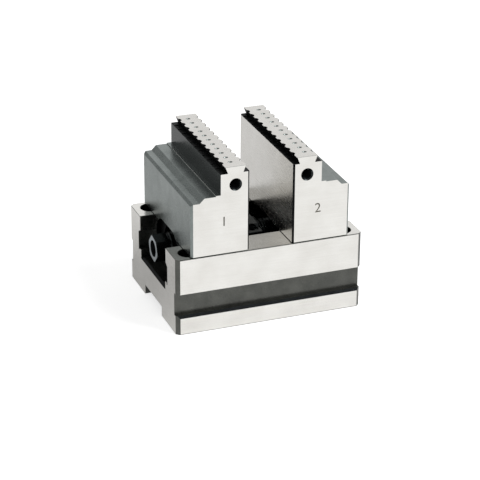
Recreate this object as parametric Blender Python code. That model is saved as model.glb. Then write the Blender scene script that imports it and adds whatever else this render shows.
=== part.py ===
# Self-centering vise with two stepped jaws on one left-hand and right-hand screw.
# Metres, +Z up. The origin is under the middle of the base, on the surface that it stands on.
# X runs along the screw, Y across the jaws.
import math

import bmesh
import bpy
from mathutils import Vector

# Clearances
SLIDE_GAP = 0.0003         # between a sliding piece and its guide
SEAT_GAP = 0.0003          # between two pieces that are fastened together
RUNNING_GAP = 0.0003       # round a turning piece

# Base, with a channel between its two rails
BASE_LENGTH = 0.0800
BASE_HEIGHT = 0.0330
CHANNEL_WIDTH = 0.0330
RAIL_WIDTH = 0.0135
BASE_WIDTH = CHANNEL_WIDTH + 2 * RAIL_WIDTH
BASE_CORNER = 0.0016       # chamfer on the four upright corners
EDGE_BREAK = 0.0003        # small chamfer on ground edges
FLOOR_SHOULDER = 0.0007    # the channel is this much narrower on each side at its floor
FLOOR_WIDTH = CHANNEL_WIDTH - 2 * FLOOR_SHOULDER
FLOOR_CHAMFER = 0.0010     # at both ends of the channel floor
SLOT_DEPTH = 0.0020        # how far each guide slot goes into its rail
SLOT_WIDTH = CHANNEL_WIDTH + 2 * SLOT_DEPTH
LIP_HEIGHT = 0.0064        # rail above its guide slot, at the channel wall
SLOT_ROOF = BASE_HEIGHT - LIP_HEIGHT
SLOT_ROOF_DROP = 0.0011    # how far the roof slopes down to the slot's outer wall
BED_RISE = 0.0030          # the slot's lower face above the channel floor
RELIEF = 0.0007            # undercut in the corners of the slots and the floor
SIDE_GROOVE_LEDGE = 0.0082
SIDE_GROOVE_HEIGHT = 0.0095
SIDE_GROOVE_TOP = SIDE_GROOVE_LEDGE + SIDE_GROOVE_HEIGHT
SIDE_GROOVE_DEPTH = 0.0029
SIDE_GROOVE_CHAMFER = 0.0010
KEYWAY_WIDTH = 0.0216      # lengthwise slot in the underside
KEYWAY_DEPTH = 0.0042

# Four mounting holes through the rails, for M4 cap screws
MOUNT_HOLE_RADIUS = 0.00225
MOUNT_HOLE_WALL = 0.00085  # between a hole and the side groove
MOUNT_HOLE_INSET = 0.0070  # from the base's ends
MOUNT_HOLE_X = BASE_LENGTH / 2 - MOUNT_HOLE_INSET
MOUNT_HOLE_Y = BASE_WIDTH / 2 - SIDE_GROOVE_DEPTH - MOUNT_HOLE_WALL - MOUNT_HOLE_RADIUS
COUNTERBORE_RADIUS = 0.0041
COUNTERBORE_DEPTH = 0.0045

# Screw, with a left-hand thread on -X and a right-hand thread on +X
SCREW_INSET = 0.0002       # its end faces behind the base's
SCREW_HALF = BASE_LENGTH / 2 - SCREW_INSET
THREAD_RADIUS = 0.0060
THREAD_CHAMFER = 0.0008
NECK_DEPTH = 0.0017        # the plain neck in the middle, below the thread's crests
NECK_RADIUS = THREAD_RADIUS - NECK_DEPTH
HEX_LENGTH = 0.0058
HEX_FLATS = 0.0100
HEX_TURN = 12              # degrees from flats up and down, as the screw stands at rest
HEX_FACE_INSET = 0.0004    # the round end face inside the flats, left by the turned chamfer
HEX_CHAMFER = 0.0009
THREAD_END = SCREW_HALF - HEX_LENGTH
CENTRE_HOLE_RADIUS = 0.0016
CENTRE_HOLE_DEPTH = 0.0022

# Middle bearing: block, cap, two bronze shells, two thrust washers
BLOCK_HALF = 0.0034        # half its thickness along the screw
WASHER_THICKNESS = 0.0010
WASHER_RIM = 0.0012        # past the thread's crests
WASHER_RADIUS = THREAD_RADIUS + WASHER_RIM
NECK_HALF = BLOCK_HALF + WASHER_THICKNESS + 2 * RUNNING_GAP
SHELL_WALL = 0.0016
SHELL_OUTER = NECK_RADIUS + RUNNING_GAP + SHELL_WALL
HOUSING_BORE = SHELL_OUTER + SEAT_GAP
CAP_WALL = 0.0014          # over and beside the bore, in the raised middle of the cap
CAP_HALF_WIDTH = HOUSING_BORE + CAP_WALL
CAP_PROUD = 0.0004         # above the rails
CAP_TOP = BASE_HEIGHT + CAP_PROUD
CAP_STEP = 0.0012          # from the raised middle down to the shoulders
CAP_SHOULDER = CAP_TOP - CAP_STEP
AXIS_HEIGHT = CAP_TOP - CAP_WALL - HOUSING_BORE

# Cap screws, M2.5 with a hexagon socket, and dowels under the block
CAP_SCREW_RADIUS = 0.00125
CAP_SCREW_HEAD_RADIUS = 0.00225
CAP_SCREW_HEAD_HEIGHT = 0.0025
CAP_SCREW_SOCKET = 0.0020  # across the flats
CAP_SCREW_DEPTH = 0.0058   # in the base
CAP_SCREW_WALL = 0.00115   # between a screw's hole and the bearing's bore
CAP_SIDE_WALL = 0.00085    # outside a screw's head
CAP_SCREW_TOP = CAP_SHOULDER - EDGE_BREAK
CAP_SCREW_Y = HOUSING_BORE + CAP_SCREW_WALL + CAP_SCREW_RADIUS + SEAT_GAP
BLOCK_HALF_WIDTH = CAP_SCREW_Y + CAP_SCREW_HEAD_RADIUS + SEAT_GAP + CAP_SIDE_WALL
SOCKET_DEPTH = 0.0015      # in every socket head
SCREW_EDGE = 0.2           # chamfer on screws and pins, as a share of their radius
DOWEL_RADIUS = 0.0015
DOWEL_INSET = 0.0050       # from a cap screw's axis towards the middle
DOWEL_Y = CAP_SCREW_Y - DOWEL_INSET
DOWEL_BELOW = 0.0060       # in the base
DOWEL_COVER = 0.0005       # of the block, between a dowel's end and the bearing's bore

# Jaws, as far open as they stand at rest
JAW_WIDTH = BASE_WIDTH     # flush with the base, front and back
JAW_HEIGHT = 0.0370        # top of the grips above the rails
JAW_OPENING = 0.0185       # between the two inner faces
JAW_LENGTH = 0.02455
JAW_INNER = JAW_OPENING / 2
JAW_OUTER = JAW_INNER + JAW_LENGTH
JAW_BLOCK = 0.0122         # thickness of the upper block
JAW_LOW = BASE_HEIGHT + SLIDE_GAP
JAW_TOP = BASE_HEIGHT + JAW_HEIGHT
UPPER_HEIGHT = 0.0118      # from the outer step to the top of the grip
STEP_LEVEL = JAW_TOP - UPPER_HEIGHT
LOWER_LAND = 0.0056        # beyond the step's inner part, towards the outer face
STEP_BEVEL = 0.0020
STEP_LAND_WIDTH = 0.0020   # raised strip at the foot of the upper block
STEP_LAND_HEIGHT = 0.0004
JAW_TOP_CHAMFER = 0.0010   # outer top edge
JAW_SIDE_CHAMFER = 0.0009  # outer upright edges
LEDGE_ROUND = 0.0006

# Grip, an undercut rib with a row of teeth along both of its edges
GRIP_HEIGHT = 0.0027
GRIP_LEDGE = JAW_TOP - GRIP_HEIGHT
GRIP_SETBACK = 0.0015      # behind the jaw's inner face
GRIP_OUTER_SETBACK = 0.0019
GRIP_IN = JAW_INNER + GRIP_SETBACK
GRIP_OUT = JAW_INNER + JAW_BLOCK - GRIP_OUTER_SETBACK
GRIP_UNDERCUT = 0.0011     # how far the flanks lean in
TOOTH_PITCH = 0.0050
NOTCH_COUNT = round(JAW_WIDTH / TOOTH_PITCH) - 1
NOTCH_RADIUS = 0.00115
NOTCH_INSET = 0.0005       # notch centre behind the grip's edge
NOTCH_BELOW = 0.0002       # how far a notch marks the ledge
DIMPLE_SETBACK = 0.00655   # behind the jaw's inner face
DIMPLE_LENGTH = 0.0019
DIMPLE_WIDTH = 0.0008
DIMPLE_DEPTH = 0.00025

# M6 holes for a work stop, in the front and back of each jaw
STOP_HOLE_RADIUS = 0.0025  # core of the thread
STOP_HOLE_MOUTH = 0.0031
STOP_HOLE_DEPTH = 0.0120
STOP_HOLE_DROP = 0.0050    # below the ledge beside the grip

# Foot that runs in the channel
FOOT_SETBACK = 0.0055      # behind the jaw's inner face
FOOT_INNER = JAW_INNER + FOOT_SETBACK
FOOT_EDGE = 0.0005         # chamfer on its two lower edges
FOOT_WALL = 0.0012         # under the counterbore for the nut's flange
CAP_CLEARANCE = 0.0006     # of the arch under each jaw, which passes over the cap
ARCH_HALF_WIDTH = CAP_HALF_WIDTH + CAP_CLEARANCE
ARCH_TOP = CAP_TOP + CAP_CLEARANCE
ARCH_ROUND = 0.0006
POCKET_SIDE = 0.0032       # between the shallow pocket in the outer face and the channel wall's line
POCKET_HALF_WIDTH = CHANNEL_WIDTH / 2 - POCKET_SIDE
POCKET_HEIGHT = 0.0022     # above the rails
POCKET_DROP = 0.0009       # its lower edge below the screw's axis
POCKET_ROUND = 0.0080
POCKET_DEPTH = 0.0019

# Bronze nut in each foot, locked by M4 grub screws from both sides
NUT_WALL = 0.0012
NUT_RIM = 0.0010           # how far the flange stands out
NUT_RADIUS = THREAD_RADIUS + RUNNING_GAP + NUT_WALL
NUT_FLANGE_RADIUS = NUT_RADIUS + NUT_RIM
NUT_FLANGE = 0.0020
NUT_SETBACK = 0.00045      # behind the foot's inner face
NUT_LENGTH = 0.0122
NUT_INNER = FOOT_INNER + NUT_SETBACK
NUT_OUTER = NUT_INNER + NUT_LENGTH
NUT_EDGE = 0.0004
FLOOR_HEIGHT = AXIS_HEIGHT - NUT_FLANGE_RADIUS - SEAT_GAP - FOOT_WALL - SLIDE_GAP
SLOT_BED = FLOOR_HEIGHT + BED_RISE
NUT_SCREW_RADIUS = 0.0020
NUT_SCREW_RECESS = 0.0026  # its socket end inside the foot's side
NUT_SCREW_SOCKET = 0.0020
NUT_SCREW_X = (NUT_INNER + NUT_OUTER - NUT_FLANGE) / 2
NUT_SCREW_HEIGHT = (SLOT_BED + SLOT_ROOF - SLOT_ROOF_DROP) / 2

# What the block and its fasteners stand on
BLOCK_BOTTOM = FLOOR_HEIGHT + SEAT_GAP
DOWEL_TOP = AXIS_HEIGHT - HOUSING_BORE - DOWEL_COVER

FINE = 40                  # sides of a turned piece that shows
COARSE = 24                # sides of a small or hidden one
NOTCH_SIDES = 12
DIMPLE_SIDES = 8
QUARTER = 3                # steps of a small rounded edge
OVER = 0.0010              # how far a cutter runs past the face that it opens
SMOOTH_UP_TO = 35          # degrees between faces that are shaded as one
SLEEVE = 4                 # outside of the hexagon's cutter, in thread radii

FINISHES = {
    "ground": ((0.62, 0.62, 0.60), 0.28, 1.0),
    "oxide": ((0.035, 0.038, 0.038), 0.38, 0.9),
    "bright": ((0.55, 0.56, 0.56), 0.25, 1.0),
    "bronze": ((0.56, 0.37, 0.16), 0.35, 1.0),
}


def start_empty():
    for thing in list(bpy.data.objects):
        bpy.data.objects.remove(thing)


def finish(name, kind):
    colour, roughness, metallic = FINISHES[kind]
    material = bpy.data.materials.new(name + "_" + kind)
    material.use_nodes = True
    shader = material.node_tree.nodes["Principled BSDF"]
    shader.inputs["Base Color"].default_value = (*colour, 1.0)
    shader.inputs["Roughness"].default_value = roughness
    shader.inputs["Metallic"].default_value = metallic
    return material


def axis_empty(name, location):
    empty = bpy.data.objects.new(name, None)
    empty.empty_display_size = JAW_OPENING / 2
    empty.location = location
    bpy.context.collection.objects.link(empty)
    return empty


def place(name, bm, parent, kind=None, smooth=False):
    """Makes an object of a mesh drawn in world places, with its origin on its parent."""
    bmesh.ops.recalc_face_normals(bm, faces=bm.faces)
    origin = parent.location if parent else Vector((0, 0, 0))
    bmesh.ops.translate(bm, vec=-origin, verts=bm.verts)
    mesh = bpy.data.meshes.new(name)
    bm.to_mesh(mesh)
    bm.free()
    thing = bpy.data.objects.new(name, mesh)
    thing.parent = parent
    bpy.context.collection.objects.link(thing)
    if kind:
        mesh.materials.append(finish(name, kind))
    if smooth:
        mesh.shade_smooth()
        mesh.set_sharp_from_angle(angle=math.radians(SMOOTH_UP_TO))
    return thing


def combine(thing, tool_name, bm, operation="DIFFERENCE"):
    """Cuts, joins or trims a piece with a hidden tool shape."""
    tool = place(tool_name, bm, thing.parent)
    tool.hide_render = True
    tool.display_type = "WIRE"
    modifier = thing.modifiers.new(tool_name, "BOOLEAN")
    modifier.object = tool
    modifier.operation = operation
    modifier.solver = "EXACT"


def prism(outline, axis, low, high, bm=None, end_chamfer=0.0):
    """Extrudes a closed outline along X, Y or Z; the outline's pairs are the other two axes in order."""
    bm = bm or bmesh.new()
    spots = {"X": lambda u, v: (low, u, v), "Y": lambda u, v: (u, low, v), "Z": lambda u, v: (u, v, low)}
    start = [bm.verts.new(spots[axis](u, v)) for u, v in outline]
    face = bm.faces.new(start)
    moved = bmesh.ops.extrude_face_region(bm, geom=[face])["geom"]
    end = [item for item in moved if isinstance(item, bmesh.types.BMVert)]
    shift = Vector([high - low if name == axis else 0.0 for name in "XYZ"])
    bmesh.ops.translate(bm, vec=shift, verts=end)
    if end_chamfer:
        bmesh.ops.recalc_face_normals(bm, faces=bm.faces)
        rims = []
        for ring in (set(start), set(end)):
            rims += [e for e in bm.edges if e.verts[0] in ring and e.verts[1] in ring]
        bmesh.ops.bevel(bm, geom=rims, offset=end_chamfer, segments=1, affect="EDGES", clamp_overlap=True)
    return bm


def turned(profile, axis, centre, sides, bm=None):
    """Spins a profile of (along, radius) pairs about an axis; one that never touches the axis is a tube's."""
    bm = bm or bmesh.new()
    way = Vector([1.0 if name == axis else 0.0 for name in "XYZ"])
    out = Vector((0, 0, 1)) if axis == "X" else Vector((1, 0, 0))
    centre = Vector(centre)
    verts = [bm.verts.new(centre + way * along + out * radius) for along, radius in profile]
    edges = [bm.edges.new(pair) for pair in zip(verts, verts[1:])]
    if min(radius for _, radius in profile) > 0:
        edges.append(bm.edges.new((verts[-1], verts[0])))
    bmesh.ops.spin(bm, geom=verts + edges, cent=centre, axis=way, dvec=(0, 0, 0),
                   angle=math.tau, steps=sides, use_merge=True)
    bmesh.ops.remove_doubles(bm, verts=bm.verts, dist=1e-6)
    return bm


def rod(radius, axis, centre, low, high, sides, bm=None):
    return turned([(low, 0.0), (low, radius), (high, radius), (high, 0.0)], axis, centre, sides, bm)


def arc(centre, radius, start, end, steps):
    """Points of an arc round a centre, angles in degrees."""
    angles = [math.radians(start + (end - start) * i / steps) for i in range(steps + 1)]
    return [(centre[0] + radius * math.cos(a), centre[1] + radius * math.sin(a)) for a in angles]


def mirrored(right):
    """Closes an outline from its half on +Y, given from the lower end upwards."""
    return right + [(-y, z) for y, z in reversed(right)]


def hexagon(flats, centre=(0.0, 0.0), turn=0.0):
    """Six corners, with two flats facing up and down before it is turned."""
    return arc(centre, flats / math.sqrt(3), turn, turn + 300, 5)


# Base

def base_outline():
    """The base seen along the screw: from the keyway round one side and down to the channel floor."""
    half = BASE_WIDTH / 2
    wall = CHANNEL_WIDTH / 2
    slot = SLOT_WIDTH / 2
    floor = FLOOR_WIDTH / 2
    key = KEYWAY_WIDTH / 2
    back = half - SIDE_GROOVE_DEPTH
    return mirrored([
        (key, KEYWAY_DEPTH), (key, 0.0), (half - EDGE_BREAK, 0.0), (half, EDGE_BREAK),
        (half, SIDE_GROOVE_LEDGE - SIDE_GROOVE_CHAMFER), (half - SIDE_GROOVE_CHAMFER, SIDE_GROOVE_LEDGE),
        (back, SIDE_GROOVE_LEDGE), (back, SIDE_GROOVE_TOP), (half, SIDE_GROOVE_TOP),
        (half, BASE_HEIGHT - EDGE_BREAK), (half - EDGE_BREAK, BASE_HEIGHT),
        (wall + EDGE_BREAK, BASE_HEIGHT), (wall, BASE_HEIGHT - EDGE_BREAK),
        (wall, SLOT_ROOF), (slot, SLOT_ROOF - SLOT_ROOF_DROP),
        (slot, SLOT_BED - RELIEF), (slot - RELIEF, SLOT_BED - RELIEF), (slot - RELIEF, SLOT_BED),
        (floor, SLOT_BED), (floor, FLOOR_HEIGHT - RELIEF), (floor - RELIEF, FLOOR_HEIGHT - RELIEF),
        (floor - RELIEF, FLOOR_HEIGHT),
    ])


def chamfered_plan(half_x, half_y, cut):
    return [(half_x, -half_y + cut), (half_x, half_y - cut), (half_x - cut, half_y), (-half_x + cut, half_y),
            (-half_x, half_y - cut), (-half_x, -half_y + cut), (-half_x + cut, -half_y), (half_x - cut, -half_y)]


def floor_chamfers():
    """Two wedges that break the ends of the channel floor."""
    bm = bmesh.new()
    half = BASE_LENGTH / 2
    low = FLOOR_HEIGHT - FLOOR_CHAMFER
    reach = FLOOR_WIDTH / 2 - RELIEF
    for side in (-1, 1):
        outside = side * (half + OVER)
        inside = side * (half - FLOOR_CHAMFER - OVER)
        wedge = [(inside, FLOOR_HEIGHT + OVER), (outside, low - OVER), (outside, FLOOR_HEIGHT + OVER)]
        prism(wedge, "Y", -reach, reach, bm)
    return bm


def mounting_holes():
    bm = bmesh.new()
    seat = BASE_HEIGHT - COUNTERBORE_DEPTH
    bore = [(-OVER, 0.0), (-OVER, MOUNT_HOLE_RADIUS), (seat, MOUNT_HOLE_RADIUS), (seat, COUNTERBORE_RADIUS),
            (BASE_HEIGHT + OVER, COUNTERBORE_RADIUS), (BASE_HEIGHT + OVER, 0.0)]
    for x in (-MOUNT_HOLE_X, MOUNT_HOLE_X):
        for y in (-MOUNT_HOLE_Y, MOUNT_HOLE_Y):
            turned(bore, "Z", (x, y, 0), COARSE, bm)
    return bm


def base_fixing_holes():
    """Blind holes in the channel floor for the cap screws and the dowels."""
    bm = bmesh.new()
    high = FLOOR_HEIGHT + OVER
    screw_low = FLOOR_HEIGHT - CAP_SCREW_DEPTH - SEAT_GAP
    dowel_low = FLOOR_HEIGHT - DOWEL_BELOW - SEAT_GAP
    for side in (-1, 1):
        rod(CAP_SCREW_RADIUS + SEAT_GAP, "Z", (0, side * CAP_SCREW_Y, 0), screw_low, high, COARSE, bm)
        rod(DOWEL_RADIUS + SEAT_GAP, "Z", (0, side * DOWEL_Y, 0), dowel_low, high, COARSE, bm)
    return bm


def make_base():
    half = BASE_LENGTH / 2
    base = place("base_body", prism(base_outline(), "X", -half, half, end_chamfer=EDGE_BREAK), None, "ground")
    plan = chamfered_plan(half, BASE_WIDTH / 2, BASE_CORNER)
    combine(base, "tool_base_corners", prism(plan, "Z", -OVER, BASE_HEIGHT + OVER), "INTERSECT")
    combine(base, "tool_floor_chamfers", floor_chamfers())
    combine(base, "tool_mounting_holes", mounting_holes())
    combine(base, "tool_fixing_holes", base_fixing_holes())


# Screw

def screw_profile():
    """Half the screw's turned outline on +X, from the middle of the neck to the end face."""
    corner_radius = HEX_FLATS / math.sqrt(3)
    return [(NECK_HALF, NECK_RADIUS), (NECK_HALF, THREAD_RADIUS - THREAD_CHAMFER),
            (NECK_HALF + THREAD_CHAMFER, THREAD_RADIUS), (THREAD_END - THREAD_CHAMFER, THREAD_RADIUS),
            (THREAD_END, THREAD_RADIUS - THREAD_CHAMFER), (THREAD_END, corner_radius),
            (SCREW_HALF - HEX_CHAMFER, corner_radius), (SCREW_HALF, HEX_FLATS / 2 - HEX_FACE_INSET),
            (SCREW_HALF, CENTRE_HOLE_RADIUS), (SCREW_HALF - CENTRE_HOLE_DEPTH, 0.0)]


def hexagon_sleeve(side):
    """All that is milled away round one end of the screw to leave the hexagon."""
    bm = bmesh.new()
    middle = (0.0, AXIS_HEIGHT)
    outlines = (hexagon(HEX_FLATS, middle, HEX_TURN), hexagon(SLEEVE * THREAD_RADIUS, middle, HEX_TURN))
    rings = []
    for x in (side * THREAD_END, side * (SCREW_HALF + OVER)):
        rings.append([[bm.verts.new((x, y, z)) for y, z in outline] for outline in outlines])
    for i in range(6):
        j = (i + 1) % 6
        for inner_ring, outer_ring in rings:
            bm.faces.new((inner_ring[i], inner_ring[j], outer_ring[j], outer_ring[i]))
        for near, far in zip(*rings):
            bm.faces.new((near[i], near[j], far[j], far[i]))
    return bm


def make_screw(parent):
    half = screw_profile()
    profile = [(-x, r) for x, r in reversed(half)] + half
    screw = place("spindle", turned(profile, "X", (0, 0, AXIS_HEIGHT), FINE), parent, "oxide", smooth=True)
    for side, word in ((-1, "left"), (1, "right")):
        combine(screw, "tool_hexagon_" + word, hexagon_sleeve(side))


# Middle bearing

def half_ring(inner, outer, up):
    """Half a ring round the screw's axis, split level with it, with half the seat gap at the split."""
    turn = 0 if up else 180
    lift_out = math.degrees(math.asin(SEAT_GAP / 2 / outer))
    lift_in = math.degrees(math.asin(SEAT_GAP / 2 / inner))
    middle = (0.0, AXIS_HEIGHT)
    rim = arc(middle, outer, turn + lift_out, turn + 180 - lift_out, COARSE // 2)
    return rim + arc(middle, inner, turn + 180 - lift_in, turn + lift_in, COARSE // 2)


def saddle(up):
    """The housing's half round seat for a shell, from -Y to +Y."""
    lift = math.degrees(math.asin(SEAT_GAP / 2 / HOUSING_BORE))
    start, end = (180 - lift, lift) if up else (180 + lift, 360 - lift)
    return arc((0.0, AXIS_HEIGHT), HOUSING_BORE, start, end, COARSE // 2)


def block_outline():
    """Lower half of the bearing housing, seen along the screw."""
    split = AXIS_HEIGHT - SEAT_GAP / 2
    half, low, cut = BLOCK_HALF_WIDTH, BLOCK_BOTTOM, EDGE_BREAK
    foot = [(-half, low + cut), (cut - half, low), (half - cut, low), (half, low + cut)]
    return [(half, split), *reversed(saddle(False)), (-half, split), *foot]


def cap_outline():
    """Upper half of the housing: two shoulders for the cap screws and a raised, rounded middle."""
    split = AXIS_HEIGHT + SEAT_GAP / 2
    half, side, cut = BLOCK_HALF_WIDTH, CAP_HALF_WIDTH, EDGE_BREAK
    edge = arc((side - CAP_STEP, CAP_SHOULDER), CAP_STEP, 0, 90, QUARTER)
    return mirrored([(half, split), (half, CAP_SHOULDER - cut), (half - cut, CAP_SHOULDER), *edge]) + saddle(True)


def socket_screw(name, axis, head_end, way, head, shank, socket, parent):
    """A screw from its head's end face inwards. head and shank are (radius, length); a grub screw has no head."""
    at = Vector(head_end)
    seat = head[1] if head else 0.0
    radius = head[0] if head else shank[0]
    edge = shank[0] * SCREW_EDGE
    end = seat + shank[1]
    profile = [(0.0, 0.0), (0.0, radius - edge), (way * edge, radius)]
    if head:
        profile += [(way * seat, radius), (way * seat, shank[0])]
    profile += [(way * (end - edge), shank[0]), (way * end, shank[0] - edge), (way * end, 0.0)]
    finished = "oxide" if head else "bright"
    screw = place(name, turned(profile, axis, at, COARSE), parent, finished, smooth=True)
    low, high = sorted((-way * OVER, way * SOCKET_DEPTH))
    middle = {"X": (at.y, at.z), "Y": (at.x, at.z), "Z": (at.x, at.y)}[axis]
    along = dict(zip("XYZ", at))[axis]
    combine(screw, "tool_socket_" + name, prism(hexagon(socket, middle), axis, along + low, along + high))


def cap_screw_hole(y):
    """Stepped hole in the cap, for a screw's shank and its head."""
    shank, head = CAP_SCREW_RADIUS + SEAT_GAP, CAP_SCREW_HEAD_RADIUS + SEAT_GAP
    seat = CAP_SCREW_TOP - CAP_SCREW_HEAD_HEIGHT - SEAT_GAP
    low, high = AXIS_HEIGHT - OVER, CAP_TOP + OVER
    return [(low, 0.0), (low, shank), (seat, shank), (seat, head), (high, head), (high, 0.0)], "Z", (0, y, 0), COARSE


def make_cap_screw(y, word):
    head = (CAP_SCREW_HEAD_RADIUS, CAP_SCREW_HEAD_HEIGHT)
    length = CAP_SCREW_TOP - CAP_SCREW_HEAD_HEIGHT - FLOOR_HEIGHT + CAP_SCREW_DEPTH
    socket_screw("cap_screw_" + word, "Z", (0, y, CAP_SCREW_TOP), -1, head, (CAP_SCREW_RADIUS, length),
                 CAP_SCREW_SOCKET, None)


def make_dowel(y, word):
    low, high = FLOOR_HEIGHT - DOWEL_BELOW, DOWEL_TOP
    edge = DOWEL_RADIUS * SCREW_EDGE
    pin = [(low, 0.0), (low, DOWEL_RADIUS - edge), (low + edge, DOWEL_RADIUS),
           (high - edge, DOWEL_RADIUS), (high, DOWEL_RADIUS - edge), (high, 0.0)]
    place("dowel_" + word, turned(pin, "Z", (0, y, 0), COARSE), None, "bright", smooth=True)


def make_middle_bearing():
    block = place("center_block", prism(block_outline(), "X", -BLOCK_HALF, BLOCK_HALF), None, "oxide")
    cap = place("center_cap", prism(cap_outline(), "X", -BLOCK_HALF, BLOCK_HALF), None, "oxide")
    for word, up in (("upper", True), ("lower", False)):
        ring = half_ring(NECK_RADIUS + RUNNING_GAP, SHELL_OUTER, up)
        place("bearing_shell_" + word, prism(ring, "X", -BLOCK_HALF, BLOCK_HALF), None, "bronze")
    block_holes, cap_holes = bmesh.new(), bmesh.new()
    low = BLOCK_BOTTOM - OVER
    for side, word in ((-1, "front"), (1, "back")):
        screw_y, dowel_y = side * CAP_SCREW_Y, side * DOWEL_Y
        rod(CAP_SCREW_RADIUS + SEAT_GAP, "Z", (0, screw_y, 0), low, AXIS_HEIGHT, COARSE, block_holes)
        rod(DOWEL_RADIUS + SEAT_GAP, "Z", (0, dowel_y, 0), low, DOWEL_TOP + SEAT_GAP, COARSE, block_holes)
        turned(*cap_screw_hole(screw_y), cap_holes)
        make_cap_screw(screw_y, word)
        make_dowel(dowel_y, word)
    combine(block, "tool_block_holes", block_holes)
    combine(cap, "tool_cap_holes", cap_holes)


def make_thrust_washers():
    """Open washers that hang on the neck between its shoulders and the bearing block."""
    inner = NECK_RADIUS + RUNNING_GAP
    start = BLOCK_HALF + RUNNING_GAP
    gap_angle = math.degrees(math.asin(inner / WASHER_RADIUS))
    middle = (0.0, AXIS_HEIGHT)
    rim = arc(middle, WASHER_RADIUS, -90 + gap_angle, 270 - gap_angle, COARSE)
    throat = arc(middle, inner, 180, 0, COARSE // 2)
    for side, word in ((-1, "left"), (1, "right")):
        ends = sorted((side * start, side * (start + WASHER_THICKNESS)))
        place("thrust_washer_" + word, prism(rim + throat, "X", *ends), None, "bronze")


# Jaws

def jaw_outline(side):
    """The jaw seen from its front face, from the lower inner corner up over the grip and down the step."""
    block_out = JAW_INNER + JAW_BLOCK
    strip_out, strip_top = block_out + STEP_LAND_WIDTH, STEP_LEVEL + STEP_LAND_HEIGHT
    step_out = JAW_OUTER - LOWER_LAND
    r = LEDGE_ROUND
    land = STEP_LEVEL - STEP_BEVEL
    points = [(JAW_INNER, JAW_LOW), *arc((JAW_INNER + r, GRIP_LEDGE - r), r, 180, 90, QUARTER),
              (GRIP_IN + GRIP_UNDERCUT, GRIP_LEDGE), (GRIP_IN, JAW_TOP),
              (GRIP_OUT, JAW_TOP), (GRIP_OUT - GRIP_UNDERCUT, GRIP_LEDGE),
              *arc((block_out - r, GRIP_LEDGE - r), r, 90, 0, QUARTER),
              (block_out, strip_top), (strip_out, strip_top), (strip_out, STEP_LEVEL),
              (step_out, STEP_LEVEL), (step_out + STEP_BEVEL, land),
              (JAW_OUTER - JAW_TOP_CHAMFER, land), (JAW_OUTER, land - JAW_TOP_CHAMFER), (JAW_OUTER, JAW_LOW)]
    return [(side * x, z) for x, z in points]


def foot_outline():
    """The guide under the jaw seen along the screw: neck between the rails and a tongue in each slot."""
    wall = CHANNEL_WIDTH / 2
    slope = SLOT_ROOF_DROP / SLOT_DEPTH
    roof = SLOT_ROOF - SLIDE_GAP * math.sqrt(1 + slope * slope)
    neck, tongue = wall - SLIDE_GAP, SLOT_WIDTH / 2 - SLIDE_GAP
    keel = FLOOR_WIDTH / 2 - SLIDE_GAP
    bed, low = SLOT_BED + SLIDE_GAP, FLOOR_HEIGHT + SLIDE_GAP
    return mirrored([
        (keel - FOOT_EDGE, low), (keel, low + FOOT_EDGE), (keel, bed), (tongue, bed),
        (tongue, roof - slope * (tongue - wall)), (neck, roof - slope * (neck - wall)),
        (neck, BASE_HEIGHT + OVER),
    ])


def jaw_plan(side):
    """Trims the jaw's outer upright edges and leaves its other faces alone."""
    half, cut = JAW_WIDTH / 2, JAW_SIDE_CHAMFER
    near, far = JAW_INNER - OVER, JAW_OUTER + OVER
    points = [(near, -half - OVER), (JAW_OUTER - cut - OVER, -half - OVER), (far, cut + OVER - half),
              (far, half - cut - OVER), (JAW_OUTER - cut - OVER, half + OVER), (near, half + OVER)]
    return [(side * x, y) for x, y in points]


def tooth_places():
    return [(i - (NOTCH_COUNT - 1) / 2) * TOOTH_PITCH for i in range(NOTCH_COUNT)]


def grip_notches(side):
    """Round notches along both edges of the grip, which leave the teeth between them."""
    bm = bmesh.new()
    for y in tooth_places():
        for x in (GRIP_IN + NOTCH_INSET, GRIP_OUT - NOTCH_INSET):
            rod(NOTCH_RADIUS, "Z", (side * x, y, 0), GRIP_LEDGE - NOTCH_BELOW, JAW_TOP + OVER, NOTCH_SIDES, bm)
    return bm


def grip_dimples(side):
    """Shallow oval marks in a row on the grip's top."""
    bm = bmesh.new()
    middle = side * (JAW_INNER + DIMPLE_SETBACK)
    angles = [math.tau * (k + 0.5) / DIMPLE_SIDES for k in range(DIMPLE_SIDES)]
    for y in tooth_places():
        oval = [(middle + DIMPLE_LENGTH / 2 * math.cos(a), y + DIMPLE_WIDTH / 2 * math.sin(a)) for a in angles]
        prism(oval, "Z", JAW_TOP - DIMPLE_DEPTH, JAW_TOP + OVER, bm)
    return bm


def stop_holes(side):
    """Blind holes with a countersunk mouth in the front and back faces."""
    bm = bmesh.new()
    x = side * (JAW_INNER + JAW_BLOCK / 2)
    mouth = STOP_HOLE_MOUTH - STOP_HOLE_RADIUS
    for way in (-1, 1):
        face = way * JAW_WIDTH / 2
        bottom, beyond = face - way * STOP_HOLE_DEPTH, face + way * OVER
        profile = [(bottom, 0.0), (bottom, STOP_HOLE_RADIUS), (face - way * mouth, STOP_HOLE_RADIUS),
                   (face, STOP_HOLE_MOUTH), (beyond, STOP_HOLE_MOUTH), (beyond, 0.0)]
        turned(profile, "Y", (x, 0, GRIP_LEDGE - STOP_HOLE_DROP), COARSE, bm)
    return bm


def cap_arch(side):
    """Groove under the inner part of the jaw, which passes over the bearing cap."""
    half, r = ARCH_HALF_WIDTH, ARCH_ROUND
    outline = mirrored([(half, BASE_HEIGHT - OVER), *arc((half - r, ARCH_TOP - r), r, 0, 90, QUARTER)])
    return prism(outline, "X", *sorted((side * (JAW_INNER - OVER), side * FOOT_INNER)))


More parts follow.
